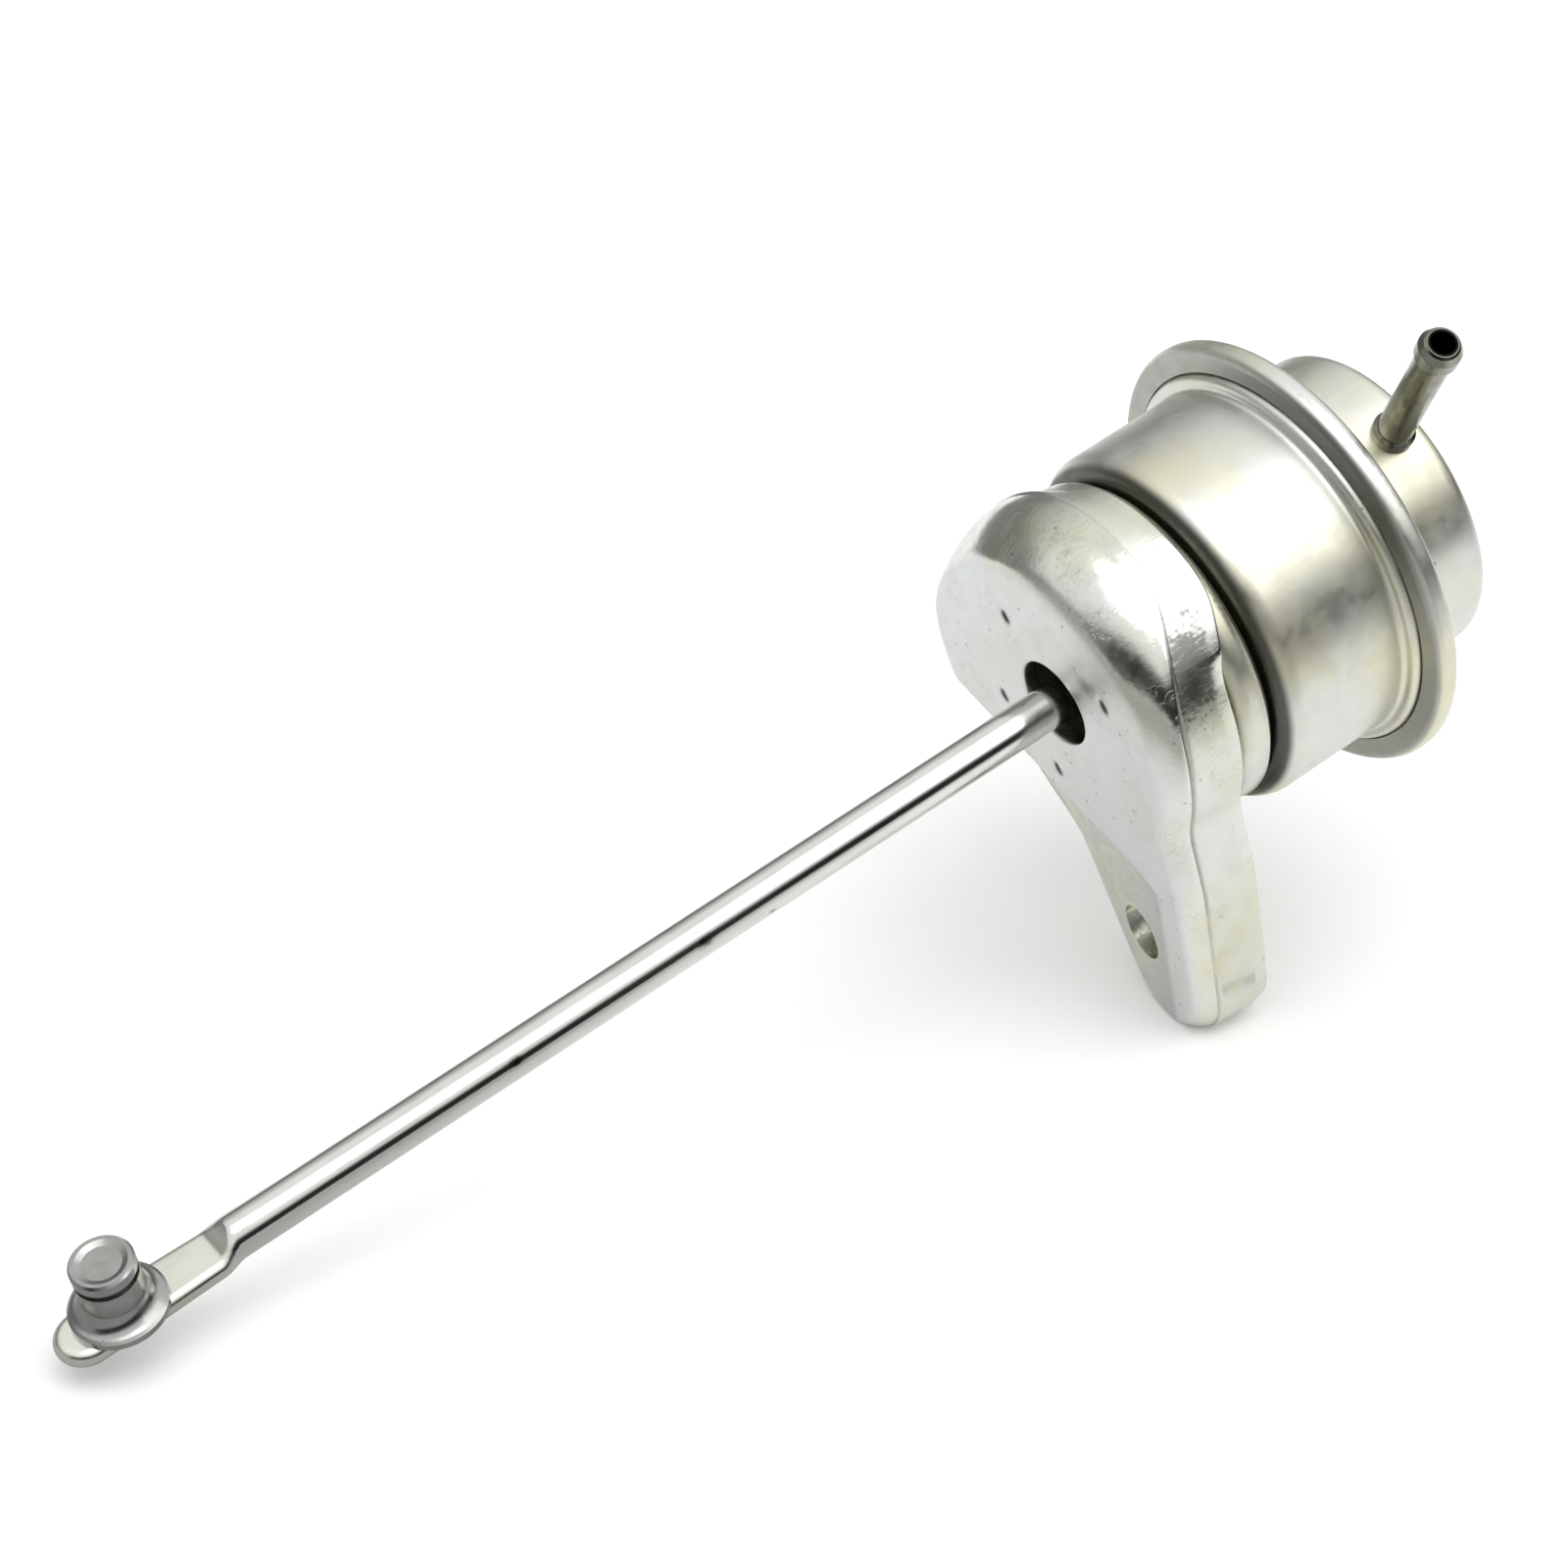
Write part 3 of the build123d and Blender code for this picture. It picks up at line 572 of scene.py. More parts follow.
# %% Rings back inside the sheet
INNER_WALL_LEAST, INNER_ROLL_SHARE = 0.5, 0.4
skirt_inner = (edge_reach - SKIRT_SHEET - reach + SHEET) * smooth(4 * skirt) + reach - SHEET
lay(skirt_inner, rear, 0.0)
lay(skirt_inner, DEPTH, 0.0)
for s in (0.0, 0.5, 0.75):
    lay(reach - SHEET, DEPTH + (roll_depth - DEPTH).clip(-DEPTH, -INNER_WALL_LEAST) * s, 0.0)
for a in np.linspace(np.pi / 2, 0, 10):
    inner_down = (roll_depth - INNER_ROLL_SHARE * SHEET) * (1 - np.cos(a))
    lay(flat_reach + (roll_width - SHEET) * np.sin(a), SHEET + inner_down, 0.0)
for s in np.linspace(0, 1, 7)[1:]:
    lay(flat_reach + (HOLE - flat_reach) * s, SHEET, 0.0)
print("rings in all:", len(profile))

# %% Bracket surface
radius, depth, outer, band, seam_shade_mark = (np.array(column) for column in zip(*profile))
y, z = -radius * np.sin(turn), radius * np.cos(turn)
FACE_ENDS, PRESS_ENDS, PRESS_BLUR = 0.5, 6.0, 0.25
flat_face = (depth < FACE_ENDS) * outer
dents = weld_dents(y, z) * flat_face
depth = np.minimum(depth + dents, rear)
depth = deeper(depth, facet_depth(y, z) + (1 - outer) * SHEET, CREASE_BLUR)
points = np.stack([np.minimum(depth, rear), y, z], -1)
pressed = smooth(facet_depth(y, z) / PRESS_BLUR) * outer * (depth < PRESS_ENDS)
marks = {"band": band, "seam": seam_shade_mark, "pressed": pressed, "dent": np.abs(dents) / MARK_DEPTH}
bracket = skin("bracket_stamping", points, True, marks)

# %% [markdown]
# The bolt hole is not centred on the rod line, so the profile can't carry it. It is cut with a
# Boolean and a round cutter, and the result is baked into the mesh, with its rim kept sharp.

# %% Bolt hole
BOLT_RADIUS = 4.2
CUTTER_CORNERS, CUTTER_SPARE = 96, 4.0
RIM_SHARP = math.radians(50)


def bored(piece, y, z, radius):
    """The piece's mesh with a round hole along the rod line's direction at a place."""
    a = np.linspace(0, 2 * np.pi, CUTTER_CORNERS, endpoint=False)
    rim = np.stack([0 * a, y + radius * np.cos(a), z + radius * np.sin(a)], -1)
    ends = np.stack([rim - (CUTTER_SPARE, 0, 0), rim + (DEPTH + CUTTER_SPARE, 0, 0)])
    cutter = skin("cutter", ends, False)
    cut = piece.modifiers.new("bolt_hole", "BOOLEAN")
    cut.object = cutter
    cut.operation = "DIFFERENCE"
    cut.solver = "EXACT"
    done = piece.evaluated_get(bpy.context.evaluated_depsgraph_get())
    mesh = bpy.data.meshes.new_from_object(done)
    piece.modifiers.clear()
    piece.data = mesh
    bpy.data.objects.remove(cutter)
    mesh.set_sharp_from_angle(angle=RIM_SHARP)
    print(piece.name, "bored:", len(mesh.polygons), "faces")


bored(bracket, -ROD_Y, -ROD_Z, BOLT_RADIUS)
stands_for(bracket, "bracket", "housing")

# %% [markdown]
# ## Lower can
# The can is one drawn cup: a boss for the rod's guide, a drum, a raised shoulder and the flange
# that the cover clamps. Its section is a line with round corners, thickened inwards by the sheet
# and turned round the rod line. The drum's front corner is rounder here than the solid's, which
# leaves the dark slot behind the bracket that the picture shows.


# %% Line with round corners
def rounded(corners, radii, samples=9):
    """A path through corners, each replaced by an arc that touches both of its sides."""
    corners = np.array(corners, float)
    path = [corners[0]]
    for before, corner, after, radius in zip(corners, corners[1:], corners[2:], radii):
        a, b = (before - corner), (after - corner)
        a, b = a / np.hypot(*a), b / np.hypot(*b)
        half = math.acos(np.clip(a @ b, -1, 1)) / 2
        middle = corner + (a + b) / np.hypot(*(a + b)) * radius / math.sin(half)
        start, end = corner + a * radius / math.tan(half), corner + b * radius / math.tan(half)
        share = np.linspace(0, 1, samples)[:, None]
        arc = (start - middle) * (1 - share) + (end - middle) * share
        path.extend(middle + arc / np.linalg.norm(arc, axis=1, keepdims=True) * radius)
    path.append(corners[-1])
    return np.array(path)


def evenly(path, step):
    """The same path with points a step apart, measured along it."""
    lengths = np.concatenate([[0], np.cumsum(np.hypot(*np.diff(path, axis=0).T))])
    places = np.linspace(0, lengths[-1], int(lengths[-1] / step) + 1)
    return np.stack([np.interp(places, lengths, path[:, k]) for k in (0, 1)], -1)


def sheet_section(line, outer_step, inner_step):
    """A closed section round a line: the line moved by the two steps to its sides."""
    run = np.gradient(line, axis=0)
    outwards = np.stack([-run[:, 1], run[:, 0]], -1) / np.linalg.norm(run, axis=1, keepdims=True)
    return np.vstack([line + outer_step * outwards, (line - inner_step * outwards)[::-1]])


def turned_round(section, columns):
    """A section of (station, radius) points, turned round the rod line."""
    a = np.linspace(0, 2 * np.pi, columns, endpoint=False)
    ones = np.ones(columns)
    return np.stack([
        section[:, :1] * ones, section[:, 1:] * np.sin(a), section[:, 1:] * np.cos(a)
    ], -1)


# %% Lower can
CAN_SHEET, BOSS_FRONT, CAN_FACE, SHOULDER_START, CAN_FLANGE = 0.9, 14.1, 18.5, 39.2, 41.2
GUIDE, BOSS, DRUM, SHOULDER, FLANGE_REACH = 5.0, 21.8, 26.8, 28.7, 31.2
CAN_ROUNDS = [1.6, 0.5, 3.4, 0.8, 1.1, 0.5]
CORNER_SHARP = math.radians(60)
can_line = rounded(
    [
        (BOSS_FRONT, GUIDE),
        (BOSS_FRONT, BOSS),
        (CAN_FACE, BOSS),
        (CAN_FACE, DRUM),
        (SHOULDER_START, DRUM),
        (SHOULDER_START, SHOULDER),
        (CAN_FLANGE, SHOULDER),
        (CAN_FLANGE, FLANGE_REACH),
    ],
    CAN_ROUNDS,
)
can_section = sheet_section(evenly(can_line, 0.3), 0.0, CAN_SHEET)
lower_can = skin("lower_can_drawn", turned_round(can_section, 240), True)
lower_can.data.set_sharp_from_angle(angle=CORNER_SHARP)
stands_for(lower_can, "lower_can", "housing")

# %% [markdown]
# ## Spring
# Inside the can a coil spring pushes the piston back. A real one closes its end turns so that
# they lie flat. So the wire's centre follows a helix whose pitch is small for the first and last
# turn and grows in between, and the wire is a ring carried along it.

# %% Spring wire
SPRING_START, SPRING_END, SPRING_TURNS = 16.5, 51.9, 6.5
COIL_RADIUS, WIRE_RADIUS, CLOSED_PITCH, CLOSED_TURNS = 13.5, 1.1, 2.3, 0.4
u = np.linspace(0, SPRING_TURNS, 640)
travel = SPRING_END - SPRING_START - 2 * WIRE_RADIUS
opening = smooth(u - CLOSED_TURNS) * smooth(SPRING_TURNS - CLOSED_TURNS - u)
step = u[1]
extra = (travel - CLOSED_PITCH * SPRING_TURNS) / (opening[1:].sum() * step)
pitch = CLOSED_PITCH + extra * opening
station = SPRING_START + WIRE_RADIUS + np.concatenate([[0], np.cumsum(pitch[1:])]) * step
v = np.linspace(0, 2 * np.pi, 20, endpoint=False)
distance = COIL_RADIUS + WIRE_RADIUS * np.cos(v)
coil_turn = (2 * np.pi * u)[:, None]
points = np.stack([
    station[:, None] + WIRE_RADIUS * np.sin(v) + 0 * coil_turn,
    distance * np.sin(coil_turn),
    distance * np.cos(coil_turn),
], -1)
spring = skin("coil_spring", points, False)
print("pitch", CLOSED_PITCH, "mm at the ends and", round(float(pitch.max()), 2), "mm in the middle")

# %% Spring on its seat
stands_for(spring, "spring", "housing")
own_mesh(spring)

# %% [markdown]
# ## Diaphragm
# The rubber is clamped in the rim, rolls forward in a fold and comes back over the piston. Its
# section is a line with round corners, thickened by half the rubber to each side and turned
# round the rod line.

# %% Diaphragm
RUBBER = 0.8
RUBBER_FLANGE, FOLD_FRONT, DISC = 42.1, 35.4, 52.9
RIM_REACH, OUTER_LEG, INNER_LEG, DISC_HOLE = 31.2, 25.3, 17.55, 2.25
RUBBER_ROUNDS = [1.4, 3.3, 3.3, 1.8]
half = RUBBER / 2
middle_line = rounded(
    [
        (RUBBER_FLANGE + half, RIM_REACH),
        (RUBBER_FLANGE + half, OUTER_LEG - half),
        (FOLD_FRONT + half, OUTER_LEG - half),
        (FOLD_FRONT + half, INNER_LEG + half),
        (DISC + half, INNER_LEG + half),
        (DISC + half, DISC_HOLE),
    ],
    RUBBER_ROUNDS,
)
section = sheet_section(evenly(middle_line, 0.5), half, half)
diaphragm = skin("rolling_diaphragm", turned_round(section, 120), True)
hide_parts("diaphragm")
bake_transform(diaphragm)

# %% [markdown]
# ## Push rod
# The rod is a round bar whose front end is coined flat, and a flattened round bar keeps half-round
# sides. So every section is a stadium: two half circles of radius h, their centres w - h to each
# side. It is a full circle where w = h, so the same formula carries the bar, the taper and the
# blade. At the tip the half-round edge runs round an arc in the plan: a point z above the middle
# of the edge lies R + sqrt(h^2 - z^2) from the arc's centre. The neck and the riveted end are
# plain circles. It could be lofted between three sketches, but that leaves flats on the taper.

# %% Tip of the blade
REACH, BLADE_WIDTH, BLADE_HALF, BLADE_MIDDLE = 157.38, 4.1, 1.4, -0.8
ROD_CORNERS = 128
v = np.linspace(0, 2 * np.pi, ROD_CORNERS, endpoint=False) + np.pi / ROD_CORNERS
side, lift = np.cos(v), np.sin(v)
ahead = BLADE_WIDTH * np.sin(np.linspace(0.5 * np.pi, 0, 30)[1:])[:, None]
arc = BLADE_WIDTH - BLADE_HALF
z = np.sqrt(BLADE_HALF**2 - (ahead - arc).clip(0) ** 2) * lift
edge_out = arc + np.sqrt(BLADE_HALF**2 - z**2)
y = np.sign(side) * np.sqrt((edge_out**2 - ahead**2).clip(0))
tip_rows = np.stack([BLADE_WIDTH - REACH - ahead + 0 * v, y, BLADE_MIDDLE + z], -1)
print("blade", 2 * BLADE_WIDTH, "mm wide and", 2 * BLADE_HALF, "mm thick")

# %% Taper, bar and neck
BAR, TAPER_START, TAPER_END, PIN_STATION, ROOT_WIDTH = 3.0, -135.2, -131.5, -148.0, 3.7
BAR_END, NECK, NECK_END, RIVET_END, RIVET_FRONT, RIVET_BACK = 50.7, 2.2, 54.7, 56.1, 4.0, 3.35
s = np.linspace(0, 1, 24)
grow = smooth(s)
top = (BLADE_MIDDLE + BLADE_HALF) * (1 - grow) + BAR * grow
foot = (BLADE_MIDDLE - BLADE_HALF) * (1 - grow) - BAR * grow
taper = np.stack([
    TAPER_START + (TAPER_END - TAPER_START) * s,
    ROOT_WIDTH + (BAR - ROOT_WIDTH) * grow,
    (top - foot) / 2,
    (top + foot) / 2,
], -1)
taper[:, 1] = np.maximum(taper[:, 1], taper[:, 2])
blade = [(PIN_STATION, BLADE_WIDTH, BLADE_HALF, BLADE_MIDDLE)]
bar = [(x, BAR, BAR, 0) for x in np.linspace(TAPER_END, BAR_END, 60)[1:]]
neck = [(BAR_END, NECK, NECK, 0), (NECK_END, NECK, NECK, 0)]
rivet = [(NECK_END, RIVET_FRONT, RIVET_FRONT, 0), (RIVET_END, RIVET_BACK, RIVET_BACK, 0)]
station, wide, high, middle = (column[:, None] for column in np.vstack([blade, taper, bar, neck, rivet]).T)
bar_rows = np.stack([
    station + 0 * v,
    np.sign(side) * (wide - high) + high * side,
    middle + high * lift,
], -1)
push_rod = skin("push_rod", np.vstack([tip_rows, bar_rows]), False)
push_rod.data.set_sharp_from_angle(angle=CORNER_SHARP)
stands_for(push_rod, "rod", "plunger")

# %% [markdown]
# ## Effects that the finishes share
# Plated and worn metal needs the same few effects again and again: cloudy stain, drawn grain,
# hairline scratches, pits and single spots. Each is a node group with named inputs and outputs,
# made once and placed in each finish with its own values. They only give masks and heights, and
# the shader stays in the finish.


# %% Groups
def effect(name, takes, gives):
    """A node group with float, vector or colour inputs and float outputs, and a helper to fill it."""
    group = bpy.data.node_groups.new(name, "ShaderNodeTree")
    for label, kind in takes.items():
        group.interface.new_socket(label, in_out="INPUT", socket_type="NodeSocket" + kind)
    for label in gives:
        group.interface.new_socket(label, in_out="OUTPUT", socket_type="NodeSocketFloat")
    takes_node = group.nodes.new("NodeGroupInput")
    gives_node = group.nodes.new("NodeGroupOutput")

    def give(label, socket):
        group.links.new(socket, gives_node.inputs[label])

    print("effect", name + ":", ", ".join(takes), "give", ", ".join(gives))
    return group, adder(group), takes_node.outputs, give


def between(add, value, start, end, low=0.0, high=1.0):
    """Eases from low to high while a value goes from start to end."""
    numbers = {"Value": value, "From Min": start, "From Max": end, "To Min": low, "To Max": high}
    return add("MapRange", numbers, interpolation_type="SMOOTHSTEP").outputs["Result"]


def sums(add, how, *values, **settings):
    """A Math node over one, two or three values."""
    return add("Math", dict(enumerate(values)), operation=how, **settings).outputs[0]


# %% Clouds
CLOUD_MIDDLE = 0.52
clouds, add, take, give = effect("clouds", {"Place": "Vector", "Size": "Float", "Edge": "Float"}, ["Cloud"])
noise = add("TexNoise", {"Vector": take["Place"], "Scale": take["Size"], "Detail": 4.0, "Roughness": 0.55})
low_edge = sums(add, "SUBTRACT", CLOUD_MIDDLE, take["Edge"])
high_edge = sums(add, "ADD", CLOUD_MIDDLE, take["Edge"])
give("Cloud", between(add, noise.outputs["Fac"], low_edge, high_edge))

# %% Grain
grain, add, take, give = effect(
    "grain", {"Place": "Vector", "Stretch": "Vector", "Size": "Float"}, ["Height"]
)
drawn = add("VectorMath", {0: take["Place"], 1: take["Stretch"]}, operation="MULTIPLY")
noise = add("TexNoise", {"Vector": drawn.outputs[0], "Scale": take["Size"], "Detail": 3.0, "Roughness": 0.6})
give("Height", noise.outputs["Fac"])

# %% Hairlines
PATCH_SIZE, PATCH_EDGE = 140.0, (0.48, 0.60)
hairlines, add, take, give = effect(
    "hairlines", {"Place": "Vector", "Stretch": "Vector", "Size": "Float", "Width": "Float"}, ["Lines"]
)
drawn = add("VectorMath", {0: take["Place"], 1: take["Stretch"]}, operation="MULTIPLY")
noise = add("TexNoise", {"Vector": drawn.outputs[0], "Scale": take["Size"], "Detail": 1.0})
off_middle = sums(add, "ABSOLUTE", sums(add, "SUBTRACT", noise.outputs["Fac"], 0.5))
lines = between(add, off_middle, 0.0, take["Width"], 1.0, 0.0)
patches = add("TexNoise", {"Vector": take["Place"], "Scale": PATCH_SIZE, "Detail": 2.0})
some = between(add, patches.outputs["Fac"], *PATCH_EDGE)
give("Lines", sums(add, "MULTIPLY", lines, some))

# %% Pits
WOBBLE_SIZE, WOBBLE = 900.0, 0.5
pits, add, take, give = effect(
    "pits", {"Place": "Vector", "Size": "Float", "Reach": "Float", "Share": "Float"}, ["Pits"]
)
wobble = add("TexNoise", {"Vector": take["Place"], "Scale": WOBBLE_SIZE})
bent = add("VectorMath", {0: wobble.outputs["Color"], "Scale": WOBBLE * MM}, operation="SCALE")
bent = add("VectorMath", {0: take["Place"], 1: bent.outputs[0]}, operation="ADD")
cells = add("TexVoronoi", {"Vector": bent.outputs[0], "Scale": take["Size"]})
spot = between(add, cells.outputs["Distance"], 0.0, take["Reach"], 1.0, 0.0)
chance = add("SeparateColor", {"Color": cells.outputs["Color"]}).outputs[0]
give("Pits", sums(add, "MULTIPLY", spot, sums(add, "LESS_THAN", chance, take["Share"])))

# %% Turned rings
rings, add, take, give = effect("rings", {"Place": "Vector", "Centre": "Vector", "Size": "Float"}, ["Height"])
offset = add("VectorMath", {0: take["Place"], 1: take["Centre"]}, operation="SUBTRACT")
flat = add("VectorMath", {0: offset.outputs[0], 1: (1, 1, 0)}, operation="MULTIPLY")
from_axis = add("VectorMath", {0: flat.outputs[0]}, operation="LENGTH").outputs["Value"]
height = add("SeparateXYZ", {0: offset.outputs[0]}).outputs["Z"]
along_path = sums(add, "ADD", from_axis, height)
noise = add("TexNoise", {"W": along_path, "Scale": take["Size"], "Detail": 2.0}, noise_dimensions="1D")
give("Height", noise.outputs["Fac"])

# %% Spot
RAGGED_SIZE, RAGGED_SHARE = 1600.0, (0.6, 1.4)
spots, add, take, give = effect(
    "spot", {"Place": "Vector", "Centre": "Vector", "Stretch": "Vector", "Reach": "Float"}, ["Spot"]
)
offset = add("VectorMath", {0: take["Place"], 1: take["Centre"]}, operation="SUBTRACT")
offset = add("VectorMath", {0: offset.outputs[0], 1: take["Stretch"]}, operation="MULTIPLY")
length = add("VectorMath", {0: offset.outputs[0]}, operation="LENGTH").outputs["Value"]
ragged = add("TexNoise", {"Vector": take["Place"], "Scale": RAGGED_SIZE, "Detail": 3.0})
length = sums(add, "MULTIPLY", length, between(add, ragged.outputs["Fac"], 0.2, 0.8, *RAGGED_SHARE))
give("Spot", between(add, length, 0.0, take["Reach"], 1.0, 0.0))

# %% [markdown]
# ## Metal finishes
# All the metals are one shader with other values: a pale colour, a stain that comes in clouds, a
# roughness that the clouds and the grain change, and a fine relief. A small function starts each
# finish and closes it, so that the cells below only say what is special about each metal.


# %% Start and close a finish
def start_finish(name):
    """A new material, its helper and the object's own coordinates."""
    look = bpy.data.materials.new(name)
    tree, add = look_tree(look)
    print("finish:", name)
    return look, add, add("TexCoord").outputs["Object"]


def mixed(add, share, first, second):
    """A colour that goes from the first to the second with the share."""
    first, second = ((*c, 1) if isinstance(c, tuple) else c for c in (first, second))
    return add("Mix", {0: share, 6: first, 7: second}, data_type="RGBA").outputs[2]


def covered(add, color, mask, share, over):
    """The colour with another one over it: as much of it as the mask says, times a share."""
    return mixed(add, sums(add, "MULTIPLY", mask, share), color, over)


def rougher(add, roughness, mask, more):
    """A roughness that rises by up to some more where the mask is."""
    return sums(add, "ADD", roughness, sums(add, "MULTIPLY", mask, more))


def close_finish(add, color, roughness, height, relief, metallic=1.0):
    """A Principled shader with a bump from the height, relief metres deep, and the output."""
    bump = add("Bump", {"Height": height, "Strength": 1.0, "Distance": relief}).outputs["Normal"]
    inputs = {"Base Color": color, "Metallic": metallic, "Roughness": roughness, "Normal": bump}
    shader = add("BsdfPrincipled", inputs)
    add("OutputMaterial", {"Surface": shader.outputs[0]})


def cloud(add, place, size, edge=0.12):
    """A cloudy mask, with clouds of about one over the size in metres."""
    return add("Group", {"Place": place, "Size": size, "Edge": edge}, node_tree=clouds).outputs["Cloud"]


def grained(add, place, stretch, size):
    """A fine drawn relief, from 0 to 1."""
    return add("Group", {"Place": place, "Stretch": stretch, "Size": size}, node_tree=grain).outputs["Height"]


def scratched(add, place, stretch, size, width):
    """A mask of hairline scratches in patches."""
    values = {"Place": place, "Stretch": stretch, "Size": size, "Width": width}
    return add("Group", values, node_tree=hairlines).outputs["Lines"]


def pitted(add, place, size, reach, share):
    """A mask of small pits in a share of the cells."""
    values = {"Place": place, "Size": size, "Reach": reach, "Share": share}
    return add("Group", values, node_tree=pits).outputs["Pits"]


def spotted(add, place, centre, reach, stretch=(1, 1, 1)):
    """A mask round one place of the frame, as far as its reach in millimetres."""
    values = {"Place": place, "Centre": in_frame(*centre), "Stretch": stretch, "Reach": reach * MM}
    return add("Group", values, node_tree=spots).outputs["Spot"]


# %% [markdown]
# The bracket is zinc plated, and has been used. The plate has a slightly green-yellow stain in
# clouds, small dark pits, and hairlines that run mostly from front to back. The face is bluer and
# more matt than the roll. The pressed facet is painted greyer, a painted reflection of the darker
# paper that its tilt faces. The seam and the crease at the ear's tip are darkened with painted
# shade, and the welding marks are painted near black. The attributes that the profile left on the
# mesh say where those are, and the places of a painted dark reflection beside the rod hole, a
# scuff and the strokes on the band are given from the face's centre. The strokes are real, and
# their dark is partly a painted reflection of the room's dark side.

# %% Zinc plate on the bracket: stain, pits and lines
ZINC, ZINC_STAIN, ZINC_WORN_AND_SEAM_SHADE = (0.66, 0.675, 0.65), (0.60, 0.60, 0.45), (0.16, 0.16, 0.14)
FACE_ZINC, FACET_PAINTED_REFLECTION, DENT_DARK = (0.64, 0.665, 0.67), (0.46, 0.45, 0.455), (0.03, 0.03, 0.03)
worn_plate, add, place = start_finish("worn_zinc_plate")
band_mask = add("Attribute", attribute_name="band").outputs["Fac"]
seam_shade_mask = add("Attribute", attribute_name="seam").outputs["Fac"]
facet_reflection_mask = add("Attribute", attribute_name="pressed").outputs["Fac"]
dent_mask = between(add, add("Attribute", attribute_name="dent").outputs["Fac"], 0.12, 0.6)
station = add("SeparateXYZ", {0: place})
facing_mask = between(add, station.outputs["X"], (FACE_X + 1.2) * MM, (FACE_X + 0.1) * MM)
stain = cloud(add, place, 75.0, 0.16)
fine_stain = cloud(add, place, 420.0, 0.2)
grain_height = grained(add, place, (0.12, 1.0, 1.0), 1500.0)
lines = scratched(add, place, (0.25, 1.0, 0.6), 1100.0, 0.012)
dark_pits = pitted(add, place, 420.0, 0.16, 0.22)
color = covered(add, ZINC, stain, 0.75, ZINC_STAIN)
color = covered(add, color, facing_mask, 0.6, FACE_ZINC)
# Painted reflection: the pressed facet is painted greyer, for the darker paper that its tilt mirrors.
color = covered(add, color, facet_reflection_mask, 0.75, FACET_PAINTED_REFLECTION)
color = covered(add, color, lines, 0.35, ZINC_WORN_AND_SEAM_SHADE)
color = covered(add, color, dark_pits, 0.75, ZINC_WORN_AND_SEAM_SHADE)
# Painted shade: the seam and the crease at the ear's tip are painted dark.
color = covered(add, color, seam_shade_mask, 0.55, ZINC_WORN_AND_SEAM_SHADE)
color = covered(add, color, dent_mask, 0.9, DENT_DARK)

# %% Painted reflection, scuff and strokes
ROD_HOLE_REFLECTION_PLACE, ROD_HOLE_REFLECTION_REACH, ROD_HOLE_PAINTED_REFLECTION = (0.0, -7.7, 9.2), 3.4, (0.15, 0.15, 0.14)
SCUFF_PLACE, SCUFF_REACH, SCUFF_BROWN = (2.0, 2.8, 28.3), 11.0, (0.30, 0.31, 0.26)
STROKES_PLACE, STROKES_REACH, STROKES_AND_PAINTED_REFLECTION = (7.0, -20.2, 15.2), 12.5, (0.10, 0.10, 0.09)
# Painted reflection: a dark streak painted up and to the side of the rod hole.
painted_reflection_spot = spotted(add, place, ROD_HOLE_REFLECTION_PLACE, ROD_HOLE_REFLECTION_REACH, (1, 1.0, 1.6))
color = covered(add, color, painted_reflection_spot, 0.6, ROD_HOLE_PAINTED_REFLECTION)
scuff = spotted(add, place, SCUFF_PLACE, SCUFF_REACH)
scuff = sums(add, "MULTIPLY", scuff, cloud(add, place, 330.0, 0.06))
color = covered(add, color, scuff, 0.5, SCUFF_BROWN)
# Partly painted reflection: the band's real strokes are painted dark, which also stands in for the dark side
# of the room mirrored there.
strokes_and_painted_reflection = spotted(add, place, STROKES_PLACE, STROKES_REACH, (0.6, 1, 1))
strokes_and_painted_reflection = sums(add, "MULTIPLY", strokes_and_painted_reflection, band_mask)
strokes_and_painted_reflection = between(add, sums(add, "MULTIPLY", strokes_and_painted_reflection, grain_height), 0.20, 0.42)
color = covered(add, color, strokes_and_painted_reflection, 0.72, STROKES_AND_PAINTED_REFLECTION)

# %% Rubbed wall, sheen and relief
RUBBED_START, RUBBED_END, BAND_RUBBED_LOWER = 13.0, 27.0, 10.0
RUBBED_ZINC = (0.66, 0.655, 0.52)
shifted = sums(add, "MULTIPLY_ADD", band_mask, BAND_RUBBED_LOWER * MM, station.outputs["Z"])
lower = between(add, shifted, (ROD_Z - RUBBED_START) * MM, (ROD_Z - RUBBED_END) * MM)
rubbed = sums(add, "MULTIPLY", lower, sums(add, "SUBTRACT", 1.0, facing_mask))
rubbed = sums(add, "MULTIPLY", rubbed, cloud(add, place, 260.0, 0.3))
color = covered(add, color, rubbed, 0.8, RUBBED_ZINC)
rough = between(add, fine_stain, 0.0, 1.0, 0.17, 0.25)
rough = rougher(add, rough, facing_mask, 0.2)
rough = rougher(add, rough, rubbed, 0.18)
rough = rougher(add, rough, band_mask, 0.13)
height = sums(add, "ADD", sums(add, "MULTIPLY", grain_height, 0.5), sums(add, "MULTIPLY", fine_stain, 0.4))
height = sums(add, "SUBTRACT", height, sums(add, "ADD", dark_pits, sums(add, "MULTIPLY", lines, 0.5)))
height = sums(add, "SUBTRACT", height, sums(add, "MULTIPLY", strokes_and_painted_reflection, 0.2))
close_finish(add, color, rough, height, 0.00003)

# %% [markdown]
# The cans have the same plate, with wider clouds and fewer pits and lines. The front of the
# rolled rim is a flat grey lip, with a painted dark reflection of the bracket on its near side.
# The slot between the bracket and the drum is painted dark, as painted shade. Both are rings
# about the rod line, so their masks come from the distance to that line and from the station.

